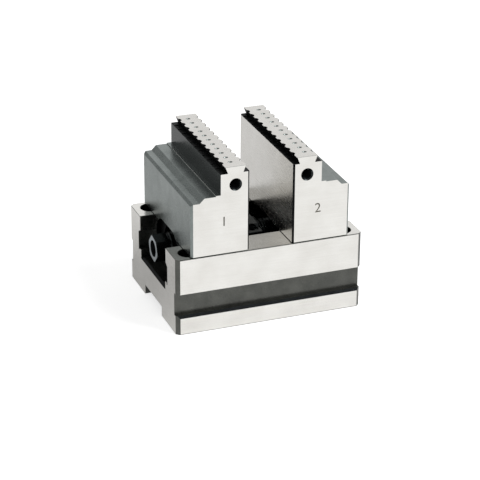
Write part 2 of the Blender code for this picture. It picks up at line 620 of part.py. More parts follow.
def screw_pocket(side):
    """Shallow pocket with two large corner rounds in the outer face, round the screw."""
    half, r, top = POCKET_HALF_WIDTH, POCKET_ROUND, BASE_HEIGHT + POCKET_HEIGHT
    low = AXIS_HEIGHT - POCKET_DROP
    outline = mirrored([(half, low), *arc((half - r, top - r), r, 0, 90, 2 * QUARTER)])
    return prism(outline, "X", *sorted((side * (JAW_OUTER - POCKET_DEPTH), side * (JAW_OUTER + OVER))))


def nut_seat(side):
    """Bore for the nut, and a counterbore for its flange and for a socket wrench."""
    bore, wide = NUT_RADIUS + SEAT_GAP, NUT_FLANGE_RADIUS + SEAT_GAP
    near, far = FOOT_INNER - OVER, JAW_OUTER + OVER
    seat = NUT_OUTER - NUT_FLANGE - SEAT_GAP
    profile = [(near, 0.0), (near, bore), (seat, bore), (seat, wide), (far, wide), (far, 0.0)]
    return turned([(side * x, r) for x, r in profile], "X", (0, 0, AXIS_HEIGHT), FINE)


def nut_screw_tip():
    """How far from the middle a grub screw's tip meets the nut."""
    drop = max(0.0, AXIS_HEIGHT - NUT_SCREW_HEIGHT - NUT_SCREW_RADIUS)
    return math.sqrt((NUT_RADIUS + SEAT_GAP) ** 2 - drop ** 2)


def nut_screw_holes(side):
    bm = bmesh.new()
    spot = (side * NUT_SCREW_X, 0, NUT_SCREW_HEIGHT)
    for way in (-1, 1):
        ends = sorted((way * NUT_RADIUS / 2, way * (SLOT_WIDTH / 2 + OVER)))
        rod(NUT_SCREW_RADIUS + SEAT_GAP, "Y", spot, *ends, COARSE, bm)
    return bm


def make_nut(side, word, parent):
    bore, edge = THREAD_RADIUS + RUNNING_GAP, NUT_EDGE
    shoulder = NUT_OUTER - NUT_FLANGE
    profile = [(NUT_INNER, bore + edge), (NUT_INNER, NUT_RADIUS - edge), (NUT_INNER + edge, NUT_RADIUS),
               (shoulder, NUT_RADIUS), (shoulder, NUT_FLANGE_RADIUS), (NUT_OUTER - edge, NUT_FLANGE_RADIUS),
               (NUT_OUTER, NUT_FLANGE_RADIUS - edge), (NUT_OUTER, bore + edge), (NUT_OUTER - edge, bore),
               (NUT_INNER + edge, bore)]
    shape = turned([(side * x, r) for x, r in profile], "X", (0, 0, AXIS_HEIGHT), FINE)
    place(word + "_nut", shape, parent, "bronze", smooth=True)


def make_nut_screws(side, word, parent):
    outer = SLOT_WIDTH / 2 - SLIDE_GAP - NUT_SCREW_RECESS
    shank = (NUT_SCREW_RADIUS, outer - nut_screw_tip())
    for way, end in ((-1, "front"), (1, "back")):
        at = (side * NUT_SCREW_X, way * outer, NUT_SCREW_HEIGHT)
        socket_screw(word + "_nut_screw_" + end, "Y", at, -way, None, shank, NUT_SCREW_SOCKET, parent)


def make_jaw(side, word, parent):
    half = JAW_WIDTH / 2
    body = prism(jaw_outline(side), "Y", -half, half, end_chamfer=EDGE_BREAK)
    jaw = place(word + "_jaw", body, parent, "oxide")
    ends = sorted((side * FOOT_INNER, side * JAW_OUTER))
    combine(jaw, "tool_foot_" + word, prism(foot_outline(), "X", *ends), "UNION")
    combine(jaw, "tool_plan_" + word, prism(jaw_plan(side), "Z", 0.0, JAW_TOP + OVER), "INTERSECT")
    for tool, shape in (("notches", grip_notches(side)), ("dimples", grip_dimples(side)),
                        ("stop_holes", stop_holes(side)), ("arch", cap_arch(side)),
                        ("pocket", screw_pocket(side)), ("nut_seat", nut_seat(side)),
                        ("nut_screw_holes", nut_screw_holes(side))):
        combine(jaw, "tool_" + tool + "_" + word, shape)
    make_nut(side, word, parent)
    make_nut_screws(side, word, parent)


start_empty()
make_base()
make_middle_bearing()
make_thrust_washers()
make_screw(axis_empty("spindle_axis", (0, 0, AXIS_HEIGHT)))
make_jaw(-1, "left", axis_empty("left_jaw_slide", (-JAW_INNER, 0, AXIS_HEIGHT)))
make_jaw(1, "right", axis_empty("right_jaw_slide", (JAW_INNER, 0, AXIS_HEIGHT)))
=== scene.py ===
# Looks of a small self-centering vise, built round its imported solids.
# Pieces are drawn in millimetres, and each is brought to metres when it is finished.
# +X runs along the screw, +Y to the back and +Z up.
import math

import bmesh
import bpy
from mathutils import Matrix, Vector


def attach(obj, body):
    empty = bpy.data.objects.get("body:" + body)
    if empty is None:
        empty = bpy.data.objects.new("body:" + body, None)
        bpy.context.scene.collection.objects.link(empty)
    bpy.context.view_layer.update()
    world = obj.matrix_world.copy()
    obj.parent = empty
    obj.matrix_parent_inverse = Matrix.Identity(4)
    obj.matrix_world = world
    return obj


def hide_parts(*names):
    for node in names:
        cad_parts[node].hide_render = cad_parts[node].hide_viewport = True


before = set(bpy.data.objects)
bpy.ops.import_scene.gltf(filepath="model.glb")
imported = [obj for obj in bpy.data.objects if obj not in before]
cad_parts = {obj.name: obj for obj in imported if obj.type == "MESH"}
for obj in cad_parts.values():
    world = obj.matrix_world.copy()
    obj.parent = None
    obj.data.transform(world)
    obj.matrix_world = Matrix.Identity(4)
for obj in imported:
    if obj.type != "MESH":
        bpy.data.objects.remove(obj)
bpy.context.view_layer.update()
millimetre = 0.001
print("frame loaded:", len(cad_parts), "nodes")


# Camera, at the photograph's angle
cameraSettings = {
    "azimuth": -20.80, "elevation": 24.58, "roll": 0.38,   # degrees
    "distance": 804.7, "target": (-1.83, 0.0, 23.44),      # mm
    "lens": 145.35, "sensor": 36.0,
}


def makeCamera():
    azimuth, elevation, roll = (math.radians(cameraSettings[k]) for k in ("azimuth", "elevation", "roll"))
    back = Vector((math.sin(azimuth) * math.cos(elevation), -math.cos(azimuth) * math.cos(elevation),
                   math.sin(elevation)))
    level = Vector((math.cos(azimuth), math.sin(azimuth), 0.0))
    above = back.cross(level)
    right = level * math.cos(roll) + above * math.sin(roll)
    up = above * math.cos(roll) - level * math.sin(roll)
    data = bpy.data.cameras.new("camera")
    data.lens = cameraSettings["lens"]
    data.sensor_width = cameraSettings["sensor"]
    camera = bpy.data.objects.new("camera", data)
    place = Matrix((right, up, back)).transposed().to_4x4()
    place.translation = (Vector(cameraSettings["target"]) + back * cameraSettings["distance"]) * millimetre
    camera.matrix_world = place
    bpy.context.collection.objects.link(camera)
    bpy.context.scene.camera = camera


makeCamera()


# Small helpers for colours, nodes and trees
def linear(hexText):
    # an sRGB hex colour as linear values, with full opacity
    values = [int(hexText[i:i + 2], 16) / 255 for i in (1, 3, 5)]
    return (*(v / 12.92 if v <= 0.04045 else ((v + 0.055) / 1.055) ** 2.4 for v in values), 1.0)


maths = "ShaderNodeMath"


def addNode(tree, kind, inputs=None, operation=None, **settings):
    # inputs is a list, or a dictionary by name or place; a node among them gives its first output
    node = tree.nodes.new(kind)
    if operation:
        node.operation = operation
    for name, value in settings.items():
        setattr(node, name, value)
    for key, value in inputs.items() if isinstance(inputs, dict) else enumerate(inputs or []):
        source = value.outputs[0] if isinstance(value, bpy.types.Node) else value
        if isinstance(source, bpy.types.NodeSocket):
            tree.links.new(source, node.inputs[key])
        else:
            node.inputs[key].default_value = source
    return node


# Materials. Sizes of patterns are in mm, along X, Y and Z. Real grinding and milling marks are about 0.05 mm
# wide, too fine for the render, so their grain is drawn as coarse as it needs to show.
steelLooks = {
    # surface-ground tool steel: pale and satin, with fine straight lines that run along the vise
    "groundSteelLengthwise": {"dark": "#e4e2dd", "light": "#f2f1ed", "roughness": (0.16, 0.25),
                              "grain": (14.0, 0.35, 0.35), "cloud": 9.0, "cloudShare": 0.6, "bump": 0.0015},
    # the same finish with its lines across the vise, on the ends, the clamping faces and the grips
    "groundSteelCrosswise": {"dark": "#dddbd6", "light": "#e8e6e2", "roughness": (0.25, 0.28),
                             "grain": (0.25, 14.0, 0.25), "cloud": 9.0, "cloudShare": 0.75, "bump": 0.0004},
    # black oxide over milled steel: dark grey-green, satin, a little cloudy
    "blackOxideSteel": {"dark": "#767d7b", "light": "#8f9694", "roughness": (0.24, 0.36),
                        "grain": (0.6, 0.6, 0.6), "cloud": 7.0, "cloudShare": 0.6, "bump": 0.008},
    # the same finish on the base, its grooves and channel: a darker neutral grey
    "grooveOxideSteel": {"dark": "#50514e", "light": "#666763", "roughness": (0.26, 0.38),
                         "grain": (0.6, 0.6, 0.6), "cloud": 7.0, "cloudShare": 0.6, "bump": 0.008},
    # black oxide painted pale blue-grey on the screw's end faces: a painted reflection of the bright studio
    "paintedSheenOxideSteel": {"dark": "#868d91", "light": "#a6adb1", "roughness": (0.24, 0.34),
                       "grain": (0.4, 0.4, 0.4), "cloud": 2.0},
    # oiled black oxide on the screw and its bearing: darker and smoother
    "oiledOxideSteel": {"dark": "#26292a", "light": "#393d3d", "roughness": (0.20, 0.30),
                        "cloud": 5.0},
    # the same finish, nearly black and dull: painted shade, put in holes, recesses, undercuts, on the washers
    # and on sloping edges where shade falls
    "paintedShadeFinish": {"dark": "#101112", "light": "#1c1e1f", "roughness": (0.45, 0.60),
                      "cloud": 3.0},
    # plain hardened steel of pins and grub screws: bright and smooth
    "hardenedPinSteel": {"dark": "#a9a9a6", "light": "#c4c4c1", "roughness": (0.22, 0.32),
                         "grain": (0.3, 0.3, 0.3), "cloud": 3.0, "bump": 0.004},
    # turned bearing bronze darkened by oil: brown, with fine rings from the lathe
    "turnedBronze": {"dark": "#463723", "light": "#604c2e", "roughness": (0.26, 0.38),
                     "grain": (0.3, 6.0, 6.0), "cloud": 4.0},
}


steelPattern = {
    "grainDetail": 3.0, "grainRoughness": 0.6, "cloudDetail": 2.0, "noiseLow": 0.3, "noiseHigh": 0.7,
    "bumpStrength": 0.5, "grain": (0.5, 0.5, 0.5), "cloudShare": 0.5, "bump": 0.006,
}
fillLook = {"dark": "#6a675f", "light": "#8d8980", "speck": 0.4, "roughness": 0.8}


def newSurface(name):
    material = bpy.data.materials.new(name)
    material.use_nodes = True
    tree = material.node_tree
    spot = addNode(tree, "ShaderNodeTexCoord").outputs["Object"]
    return material, tree, tree.nodes["Principled BSDF"], spot


def makeSteel(name, look):
    look = {**steelPattern, **look}
    material, tree, shader, spot = newSurface(name)
    shader.inputs["Metallic"].default_value = 1.0
    scale = [1 / (size * millimetre) for size in look["grain"]]
    stretched = addNode(tree, "ShaderNodeMapping", {"Vector": spot, "Scale": scale})
    grain = addNode(tree, "ShaderNodeTexNoise", {
        "Vector": stretched, "Scale": 1.0, "Detail": look["grainDetail"],
        "Roughness": look["grainRoughness"]})
    cloud = addNode(tree, "ShaderNodeTexNoise", {
        "Vector": spot, "Scale": 1 / (look["cloud"] * millimetre), "Detail": look["cloudDetail"]})
    blend = addNode(tree, "ShaderNodeMix", {0: look["cloudShare"], 2: grain, 3: cloud}, data_type="FLOAT")
    spread = addNode(tree, "ShaderNodeMapRange", {
        "Value": blend, "From Min": look["noiseLow"], "From Max": look["noiseHigh"]})
    tone = addNode(tree, "ShaderNodeMix", {
        0: spread, 6: linear(look["dark"]), 7: linear(look["light"])}, data_type="RGBA")
    low, high = look["roughness"]
    rough = addNode(tree, "ShaderNodeMapRange", {
        "Value": grain, "From Min": look["noiseLow"], "From Max": look["noiseHigh"],
        "To Min": low, "To Max": high})
    bump = addNode(tree, "ShaderNodeBump", {
        "Strength": look["bumpStrength"], "Distance": look["bump"] * millimetre, "Height": grain})
    tree.links.new(tone.outputs[2], shader.inputs["Base Color"])
    tree.links.new(rough.outputs[0], shader.inputs["Roughness"])
    tree.links.new(bump.outputs[0], shader.inputs["Normal"])
    return material


def makeFill():
    # grey paint rubbed into the stamped numerals: dull and slightly speckled
    material, tree, shader, spot = newSurface("stampedNumeralFill")
    speck = addNode(tree, "ShaderNodeTexNoise", {
        "Vector": spot, "Scale": 1 / (fillLook["speck"] * millimetre)})
    tone = addNode(tree, "ShaderNodeMix", {
        0: speck, 6: linear(fillLook["dark"]), 7: linear(fillLook["light"])}, data_type="RGBA")
    tree.links.new(tone.outputs[2], shader.inputs["Base Color"])
    shader.inputs["Roughness"].default_value = fillLook["roughness"]
    return material


materials = {name: makeSteel(name, look) for name, look in steelLooks.items()}
materials["stampedNumeralFill"] = makeFill()
print("materials:", len(materials))


# Shapes in millimetres
weldDistance = 1e-4
over = 1.0                 # how far a cutter runs past the face that it opens


def prism(outline, axis, low, high, bm=None, edge=0.0, steps=2):
    # extrudes a closed outline along an axis; edge rounds the rims of its two ends
    bm = bm or bmesh.new()
    spots = {"X": lambda u, v: (low, u, v), "Y": lambda u, v: (u, low, v), "Z": lambda u, v: (u, v, low)}
    start = [bm.verts.new(spots[axis](u, v)) for u, v in outline]
    face = bm.faces.new(start)
    moved = bmesh.ops.extrude_face_region(bm, geom=[face])["geom"]
    end = [item for item in moved if isinstance(item, bmesh.types.BMVert)]
    shift = Vector([high - low if name == axis else 0.0 for name in "XYZ"])
    bmesh.ops.translate(bm, vec=shift, verts=end)
    if edge:
        bmesh.ops.recalc_face_normals(bm, faces=bm.faces)
        rims = []
        for ring in (set(start), set(end)):
            rims += [e for e in bm.edges if e.verts[0] in ring and e.verts[1] in ring]
        bmesh.ops.bevel(bm, geom=rims, offset=edge, segments=steps, profile=0.5, affect="EDGES",
                        clamp_overlap=True)
    return bm


def turned(profile, axis, centre, sides, bm=None):
    # spins a profile of (along, radius) pairs about an axis
    bm = bm or bmesh.new()
    way = Vector([1.0 if name == axis else 0.0 for name in "XYZ"])
    out = Vector((0, 0, 1)) if axis == "X" else Vector((1, 0, 0))
    centre = Vector(centre)
    verts = [bm.verts.new(centre + way * along + out * radius) for along, radius in profile]
    edges = [bm.edges.new(pair) for pair in zip(verts, verts[1:])]
    if min(radius for _, radius in profile) > 0:
        edges.append(bm.edges.new((verts[-1], verts[0])))
    bmesh.ops.spin(bm, geom=verts + edges, cent=centre, axis=way, dvec=(0, 0, 0),
                   angle=math.tau, steps=sides, use_merge=True)
    bmesh.ops.remove_doubles(bm, verts=bm.verts, dist=weldDistance)
    return bm


def arc(centre, radius, start, end, steps):
    angles = [math.radians(start + (end - start) * i / steps) for i in range(steps + 1)]
    return [(centre[0] + radius * math.cos(a), centre[1] + radius * math.sin(a)) for a in angles]


def rounded(corners, steps=3):
    # an outline whose corners are (u, v) or (u, v, radius)
    points = []
    count = len(corners)
    for i, corner in enumerate(corners):
        spot = Vector(corner[:2])
        radius = corner[2] if len(corner) > 2 else 0.0
        if not radius:
            points.append(tuple(spot))
            continue
        before = (Vector(corners[i - 1][:2]) - spot).normalized()
        after = (Vector(corners[(i + 1) % count][:2]) - spot).normalized()
        half = before.angle(after) / 2
        middle = spot + (before + after).normalized() * (radius / math.sin(half))
        start, end = spot + before * (radius / math.tan(half)), spot + after * (radius / math.tan(half))
        first = math.atan2(*(start - middle).yx)
        turn = (math.atan2(*(end - middle).yx) - first + math.pi) % math.tau - math.pi
        for step in range(steps + 1):
            angle = first + turn * step / steps
            points.append((middle.x + radius * math.cos(angle), middle.y + radius * math.sin(angle)))
    return points


def mirrored(right):
    # closes an outline from its half on +Y
    return right + [(-corner[0], *corner[1:]) for corner in reversed(right)]


def bore(low, high, radius):
    # the profile of a plain hole or pin
    return [(low, 0.0), (low, radius), (high, radius), (high, 0.0)]


def hexagon(flats, centre, turn):
    return arc(centre, flats / math.sqrt(3), turn, turn + 300, 5)


def asObject(name, bm):
    bmesh.ops.recalc_face_normals(bm, faces=bm.faces)
    mesh = bpy.data.meshes.new(name)
    bm.to_mesh(mesh)
    bm.free()
    thing = bpy.data.objects.new(name, mesh)
    bpy.context.collection.objects.link(thing)
    return thing


def settle(thing):
    # runs an object's modifiers and keeps the result as its plain mesh
    depsgraph = bpy.context.evaluated_depsgraph_get()
    shape = thing.evaluated_get(depsgraph)
    mesh = bpy.data.meshes.new_from_object(shape, preserve_all_data_layers=True, depsgraph=depsgraph)
    thing.modifiers.clear()
    thing.data = mesh


def carve(thing, *tools):
    # each tool is what it does, and one or more shapes
    helpers = []
    for operation, *shapes in tools:
        for bm in shapes:
            helper = asObject("helper", bm)
            modifier = thing.modifiers.new("carve", "BOOLEAN")
            modifier.object = helper
            modifier.operation = operation
            modifier.solver = "EXACT"
            helpers.append(helper)
    settle(thing)
    for helper in helpers:
        bpy.data.objects.remove(helper)
    return thing


def shapeOf(thing):
    bm = bmesh.new()
    bm.from_mesh(thing.data)
    bpy.data.objects.remove(thing)
    return bm


smoothUpTo = 35            # degrees between faces that are shaded as one

# The rules for finishes tell faces apart by their direction, and by their distance in mm from a plane
square, steep, leaning, sloping = 0.99, 0.9, 0.7, 0.3
onPlane, closeBy = 0.01, 0.05


def finishPiece(thing, name, finishes, body, replaced, rule=None):
    # finishes are names of materials; rule gives each face the number of its finish from its middle and its
    # direction
    mesh = thing.data
    mesh.materials.clear()
    for finish in finishes:
        mesh.materials.append(materials[finish])
    for face in mesh.polygons:
        face.material_index = rule(face.center, face.normal) if rule else 0
    mesh.shade_smooth()
    mesh.set_sharp_from_angle(angle=math.radians(smoothUpTo))
    modifier = thing.modifiers.new("weights", "WEIGHTED_NORMAL")
    modifier.keep_sharp = True
    modifier.weight = 100
    settle(thing)
    thing.data.transform(Matrix.Scale(millimetre, 4))
    thing.name = name
    thing.data.name = name
    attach(thing, body)
    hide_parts(*replaced)
    print("made", name, len(thing.data.polygons), "faces")


# Geometry Nodes
def newTree(name, inputs):
    # inputs are the sizes of the piece, by name, with the kind of their socket
    tree = bpy.data.node_groups.new(name, "GeometryNodeTree")
    tree.interface.new_socket(name="Geometry", in_out="INPUT", socket_type="NodeSocketGeometry")
    for label, kind in inputs.items():
        tree.interface.new_socket(name=label, in_out="INPUT", socket_type="NodeSocket" + kind)
    tree.interface.new_socket(name="Geometry", in_out="OUTPUT", socket_type="NodeSocketGeometry")
    given = addNode(tree, "NodeGroupInput").outputs
    return tree, given


def closeTree(tree, geometry, material):
    loose = addNode(tree, "GeometryNodeRealizeInstances", {"Geometry": geometry})
    painted = addNode(tree, "GeometryNodeSetMaterial", {"Geometry": loose, "Material": material})
    addNode(tree, "NodeGroupOutput", [painted])


def runTree(thing, tree, values):
    modifier = thing.modifiers.new(tree.name, "NODES")
    modifier.node_group = tree
    for item in tree.interface.items_tree:
        if item.in_out == "INPUT" and item.name in values:
            modifier[item.identifier] = values[item.name]
    settle(thing)


# A threaded rod along +X. Its mesh is one grid whose rows follow the thread, so that crest and root stay
# sharp; rows past an end are held at the end, and the first and last rows close the rod on its axis.
rowsPerTurn = 8            # crest one, flanks three each, root one
closingRows = 3            # one at each end on the axis, and one that completes the last turn
threadWeld = 0.002
threadSteps = [            # the name of each result, what is done, and with which results or numbers
    # the grid's place gives each point its column and its row
    ("lastRow", "SUBTRACT", "Rows", 1.0), ("columnCount", "ADD", "Columns", 1.0),
    ("halfColumns", "DIVIDE", "Columns", 2.0), ("halfRows", "DIVIDE", "lastRow", 2.0),
    ("fromLeft", "ADD", "x", "halfColumns"), ("fromFoot", "ADD", "y", "halfRows"),
    ("column", "ROUND", "fromLeft"), ("row", "ROUND", "fromFoot"),
    # how far along the rod, held between its ends
    ("turn", "DIVIDE", "column", "Columns"), ("inner", "SUBTRACT", "row", 1.0),
    ("turnsBefore", "DIVIDE", "inner", rowsPerTurn), ("rowTurn", "SUBTRACT", "turnsBefore", 1.0),
    ("turns", "ADD", "rowTurn", "turn"), ("free", "MULTIPLY", "turns", "Pitch"),
    ("started", "MAXIMUM", "free", 0.0), ("along", "MINIMUM", "started", "Length"),
    # how far from the thread's crest, and the cone of the end chamfers
    ("pitches", "DIVIDE", "along", "Pitch"), ("phase", "SUBTRACT", "pitches", "turn"),
    ("shifted", "SUBTRACT", "phase", 0.5 / rowsPerTurn), ("fromCrest", "PINGPONG", "shifted", 0.5),
    ("root", "SUBTRACT", "Crest Radius", "Thread Depth"), ("left", "SUBTRACT", "Length", "along"),
    ("fromEnd", "MINIMUM", "along", "left"), ("endRadius", "SUBTRACT", "Crest Radius", "End Chamfer"),
    ("cone", "ADD", "fromEnd", "endRadius"),
    # the first and the last row lie on the axis
    ("beforeLast", "SUBTRACT", "lastRow", 0.5), ("afterFirst", "GREATER_THAN", "row", 0.5),
    ("notLast", "LESS_THAN", "row", "beforeLast"), ("within", "MULTIPLY", "afterFirst", "notLast"),
    ("angle", "MULTIPLY", "turn", math.tau),
]


def threadTree():
    tree, given = newTree("threadedRod", {
        "Length": "Float", "Pitch": "Float", "Crest Radius": "Float", "Thread Depth": "Float",
        "End Chamfer": "Float", "Columns": "Int", "Rows": "Int", "Material": "Material"})
    spot = addNode(tree, "ShaderNodeSeparateXYZ", [addNode(tree, "GeometryNodeInputPosition")])
    known = {name: given[name] for name in (
        "Length", "Pitch", "Crest Radius", "Thread Depth", "End Chamfer", "Columns", "Rows")}
    known.update(x=spot.outputs[0], y=spot.outputs[1])
    for name, operation, *sources in threadSteps:
        known[name] = addNode(tree, maths, [known.get(source, source) for source in sources], operation)
    flank = addNode(tree, "ShaderNodeMapRange", {
        "Value": known["fromCrest"], "From Min": 0.5 / rowsPerTurn, "From Max": 0.5 - 0.5 / rowsPerTurn,
        "To Min": given["Crest Radius"], "To Max": known["root"]})
    outside = addNode(tree, maths, [flank, known["cone"]], "MINIMUM")
    radius = addNode(tree, maths, [outside, known["within"]], "MULTIPLY")
    across, upward = (addNode(tree, maths, [radius, addNode(tree, maths, [known["angle"]], word)], "MULTIPLY")
                      for word in ("COSINE", "SINE"))
    grid = addNode(tree, "GeometryNodeMeshGrid", {
        "Size X": given["Columns"], "Size Y": known["lastRow"], "Vertices X": known["columnCount"],
        "Vertices Y": given["Rows"]})
    spotOn = addNode(tree, "ShaderNodeCombineXYZ", [known["along"], across, upward])
    shaped = addNode(tree, "GeometryNodeSetPosition", {"Geometry": grid, "Position": spotOn})
    sewn = addNode(tree, "GeometryNodeMergeByDistance", {"Geometry": shaped, "Distance": threadWeld})
    closeTree(tree, sewn, given["Material"])
    return tree


threads = threadTree()


def threadedRod(length, pitch, crest, depth, chamfer, columns):
    thing = asObject("rod", bmesh.new())
    rows = (math.ceil(length / pitch) + 1) * rowsPerTurn + closingRows
    runTree(thing, threads, {
        "Length": length, "Pitch": pitch, "Crest Radius": crest, "Thread Depth": depth,
        "End Chamfer": chamfer, "Columns": columns, "Rows": rows,
        "Material": materials["oiledOxideSteel"]})
    bm = shapeOf(thing)
    bmesh.ops.dissolve_degenerate(bm, edges=bm.edges, dist=weldDistance)
    bmesh.ops.recalc_face_normals(bm, faces=bm.faces)
    return bm


# Base
baseSizes = {
    "length": 80.0, "width": 60.0, "height": 33.0, "cornerChamfer": 1.6, "edge": 0.3, "endEdge": 0.25,
    "innerEdge": 0.15, "channel": 33.0, "floorHeight": 15.2, "floorWidth": 31.6, "floorChamfer": 1.0,
    "slotWidth": 37.0, "slotRoof": 26.6, "slotRoofDrop": 1.1, "slotBed": 18.2, "relief": 0.7,
    "grooveLedge": 8.2, "grooveTop": 17.7, "grooveDepth": 2.9, "grooveChamfer": 1.0,
    "keyway": 21.6, "keywayDepth": 4.2, "keywayEdge": 0.2,
    "holeX": 33.0, "holeY": 24.0, "holeRadius": 2.25, "counterbore": 4.1, "counterboreDepth": 4.5,
    "holeMouth": 0.2, "fixingY": 9.2, "fixingRadius": 1.55, "fixingDepth": 6.1,
    "dowelY": 4.2, "dowelRadius": 1.8, "dowelDepth": 6.3, "endBand": 1.2, "channelRim": 0.5,
}
axisHeight = 25.5


def baseOutline():
    s = baseSizes
    half, wall, slot = s["width"] / 2, s["channel"] / 2, s["slotWidth"] / 2
    floor, key = s["floorWidth"] / 2, s["keyway"] / 2
    back = half - s["grooveDepth"]
    ledge, bed, relief, edge, soft = (s[k] for k in ("grooveLedge", "slotBed", "relief", "edge", "innerEdge"))
    low = s["floorHeight"]
    return rounded(mirrored([
        (key, s["keywayDepth"], s["keywayEdge"]), (key, 0.0, edge), (half, 0.0, edge),
        (half, ledge - s["grooveChamfer"]), (half - s["grooveChamfer"], ledge),
        (back, ledge), (back, s["grooveTop"]), (half, s["grooveTop"], soft),
        (half, s["height"], edge), (wall, s["height"], edge),
        (wall, s["slotRoof"], soft), (slot, s["slotRoof"] - s["slotRoofDrop"]),
        (slot, bed - relief), (slot - relief, bed - relief), (slot - relief, bed),
        (floor, bed, soft), (floor, low - relief), (floor - relief, low - relief), (floor - relief, low),
    ]))


def cornerPlan(halfX, halfY, cut):
    return [(halfX, -halfY + cut), (halfX, halfY - cut), (halfX - cut, halfY), (-halfX + cut, halfY),
            (-halfX, halfY - cut), (-halfX, -halfY + cut), (-halfX + cut, -halfY), (halfX - cut, -halfY)]


def floorEnds():
    s = baseSizes
    bm = bmesh.new()
    half, low, cut = s["length"] / 2, s["floorHeight"], s["floorChamfer"]
    reach = s["floorWidth"] / 2 - s["relief"]
    for side in (-1, 1):
        inside, outside = side * (half - cut - over), side * (half + over)
        wedge = [(inside, low + over), (outside, low - cut - over), (outside, low + over)]
        prism(wedge, "Y", -reach, reach, bm)
    return bm


def railHoles():
    s = baseSizes
    bm = bmesh.new()
    seat, top, mouth = s["height"] - s["counterboreDepth"], s["height"], s["holeMouth"]
    profile = [(-over, 0.0), (-over, s["holeRadius"] + mouth + over), (0.0, s["holeRadius"] + mouth),
               (mouth, s["holeRadius"]), (seat, s["holeRadius"]), (seat, s["counterbore"]),
               (top - mouth, s["counterbore"]), (top + over, s["counterbore"] + mouth + over),
               (top + over, 0.0)]
    for x in (-s["holeX"], s["holeX"]):
        for y in (-s["holeY"], s["holeY"]):
            turned(profile, "Z", (x, y, 0), sides=64, bm=bm)
    return bm


def fixingHoles():
    s = baseSizes
    bm = bmesh.new()
    for side in (-1, 1):
        for name in ("fixing", "dowel"):
            profile = bore(s["floorHeight"] - s[name + "Depth"], s["floorHeight"] + over, s[name + "Radius"])
            turned(profile, "Z", (0, side * s[name + "Y"], 0), sides=40, bm=bm)
    return bm


def baseFinish(spot, way):
    # 0 lines along the vise, 1 lines across it, 2 black oxide, 3 nearly black painted shade
    s = baseSizes
    atEnd = abs(spot.x) > s["length"] / 2 - s["endBand"]
    # the edge breaks round the channel at each end are pale ground steel, a painted highlight, and the
    # channel floor's sloping end chamfer is nearly black, a painted shade
    if atEnd and sloping < abs(way.x) < square and abs(spot.y) < s["channel"] / 2 + s["channelRim"]:
        return 1 if abs(way.z) < sloping else 3
    # the sloping edges of the clamping ledges are nearly black: painted shade where the lamp would glint
    upward = sloping < abs(way.y) < steep and way.z > sloping
    if upward and spot.z < s["grooveTop"] and abs(spot.y) > s["channel"] / 2:
        return 3                                               # the sloping edge of the clamping ledges
    if abs(way.y) > square and abs(spot.y) > s["width"] / 2 - onPlane:
        return 0
    if way.z > square and spot.z > s["height"] - onPlane or way.z < -square and spot.z < onPlane:
        return 0
    if abs(way.x) > square and abs(spot.x) > s["length"] / 2 - onPlane:
        return 1
    return 2


def makeBase():
    s = baseSizes
    half = s["length"] / 2
    base = asObject("base", prism(baseOutline(), "X", -half, half, edge=s["endEdge"]))
    plan = cornerPlan(half, s["width"] / 2, s["cornerChamfer"])
    carve(base, ("INTERSECT", prism(plan, "Z", -over, s["height"] + over)),
          ("DIFFERENCE", floorEnds(), railHoles(), fixingHoles()))
    finishes = ("groundSteelLengthwise", "groundSteelCrosswise", "grooveOxideSteel", "paintedShadeFinish")
    finishPiece(base, "base_with_guides", finishes, "base", ["base_body"], baseFinish)


makeBase()


# Jaws
jawSizes = {
    "width": 60.0, "inner": 9.25, "outer": 33.8, "low": 33.3, "top": 70.0, "block": 12.2,
    "ledge": 67.3, "ledgeRound": 0.15, "gripIn": 10.75, "gripOut": 19.55, "undercut": 1.1,
    "step": 58.2, "stepOuter": 28.2, "stepBevel": 2.0, "stepRound": 0.2,
    "strip": 2.0, "stripHeight": 0.4, "stripRound": 0.08, "stripHighlightBand": 0.15,
    "topChamfer": 1.0, "sideChamfer": 0.9, "innerChamfer": 0.7, "edge": 0.3,
    "footInner": 14.75, "footNeck": 16.2, "footTongue": 18.2, "footKeel": 15.5, "footLow": 15.5,
    "footBed": 18.5, "footTop": 32.8, "keelRound": 0.4, "tongueRound": 0.3, "slotClearance": 0.3,
    "arch": 8.5, "archTop": 34.0, "archRound": 0.6,
    "pocket": 13.3, "pocketTop": 35.2, "pocketLow": 24.6, "pocketRound": 8.0, "pocketDepth": 1.9,
    "nutBore": 7.8, "nutCounterbore": 8.8, "nutSeat": 25.1, "nutScrewX": 20.3, "nutScrewHeight": 21.85,
    "nutScrewRadius": 2.3,
}
stopHole = {
    "x": 15.15, "height": 62.3, "mouth": 2.65, "core": 2.07, "crest": 2.5, "pitch": 0.8, "length": 12.0,
    "columns": 32, "overlap": 0.03, "lead": 0.2, "slack": 0.02,
}
gripSizes = {
    "Pitch": 5.0, "Count": 11, "Notch Radius": 1.75, "Notch Offset": 0.8, "Notch Below": 0.2, "Sides": 28,
    "Dimple X": 15.7, "Dimple Length": 2.0, "Dimple Width": 1.6, "Dimple Depth": 0.5, "Rings": 14,
}
numerals = {
    "left": ("1", (-20.0, 47.0)), "right": ("2", (20.0, 47.0)), "height": 5.8, "depth": 0.12, "band": 0.2,
}


def jawOutline(side):
    s = jawSizes
    blockOut = s["inner"] + s["block"]
    stripOut, stripTop = blockOut + s["strip"], s["step"] + s["stripHeight"]
    land = s["step"] - s["stepBevel"]
    corners = [(s["inner"], s["low"]), (s["inner"], s["ledge"], s["ledgeRound"]),
               (s["gripIn"] + s["undercut"], s["ledge"]), (s["gripIn"], s["top"]),
               (s["gripOut"], s["top"]), (s["gripOut"] - s["undercut"], s["ledge"]),
               (blockOut, s["ledge"], s["ledgeRound"]), (blockOut, stripTop),
               (stripOut, stripTop, s["stripRound"]), (stripOut, s["step"]),
               (s["stepOuter"], s["step"], s["stepRound"]), (s["stepOuter"] + s["stepBevel"], land),
               (s["outer"] - s["topChamfer"], land), (s["outer"], land - s["topChamfer"]),
               (s["outer"], s["low"])]
    return [(side * x, z) for x, z in rounded(corners, steps=4)]


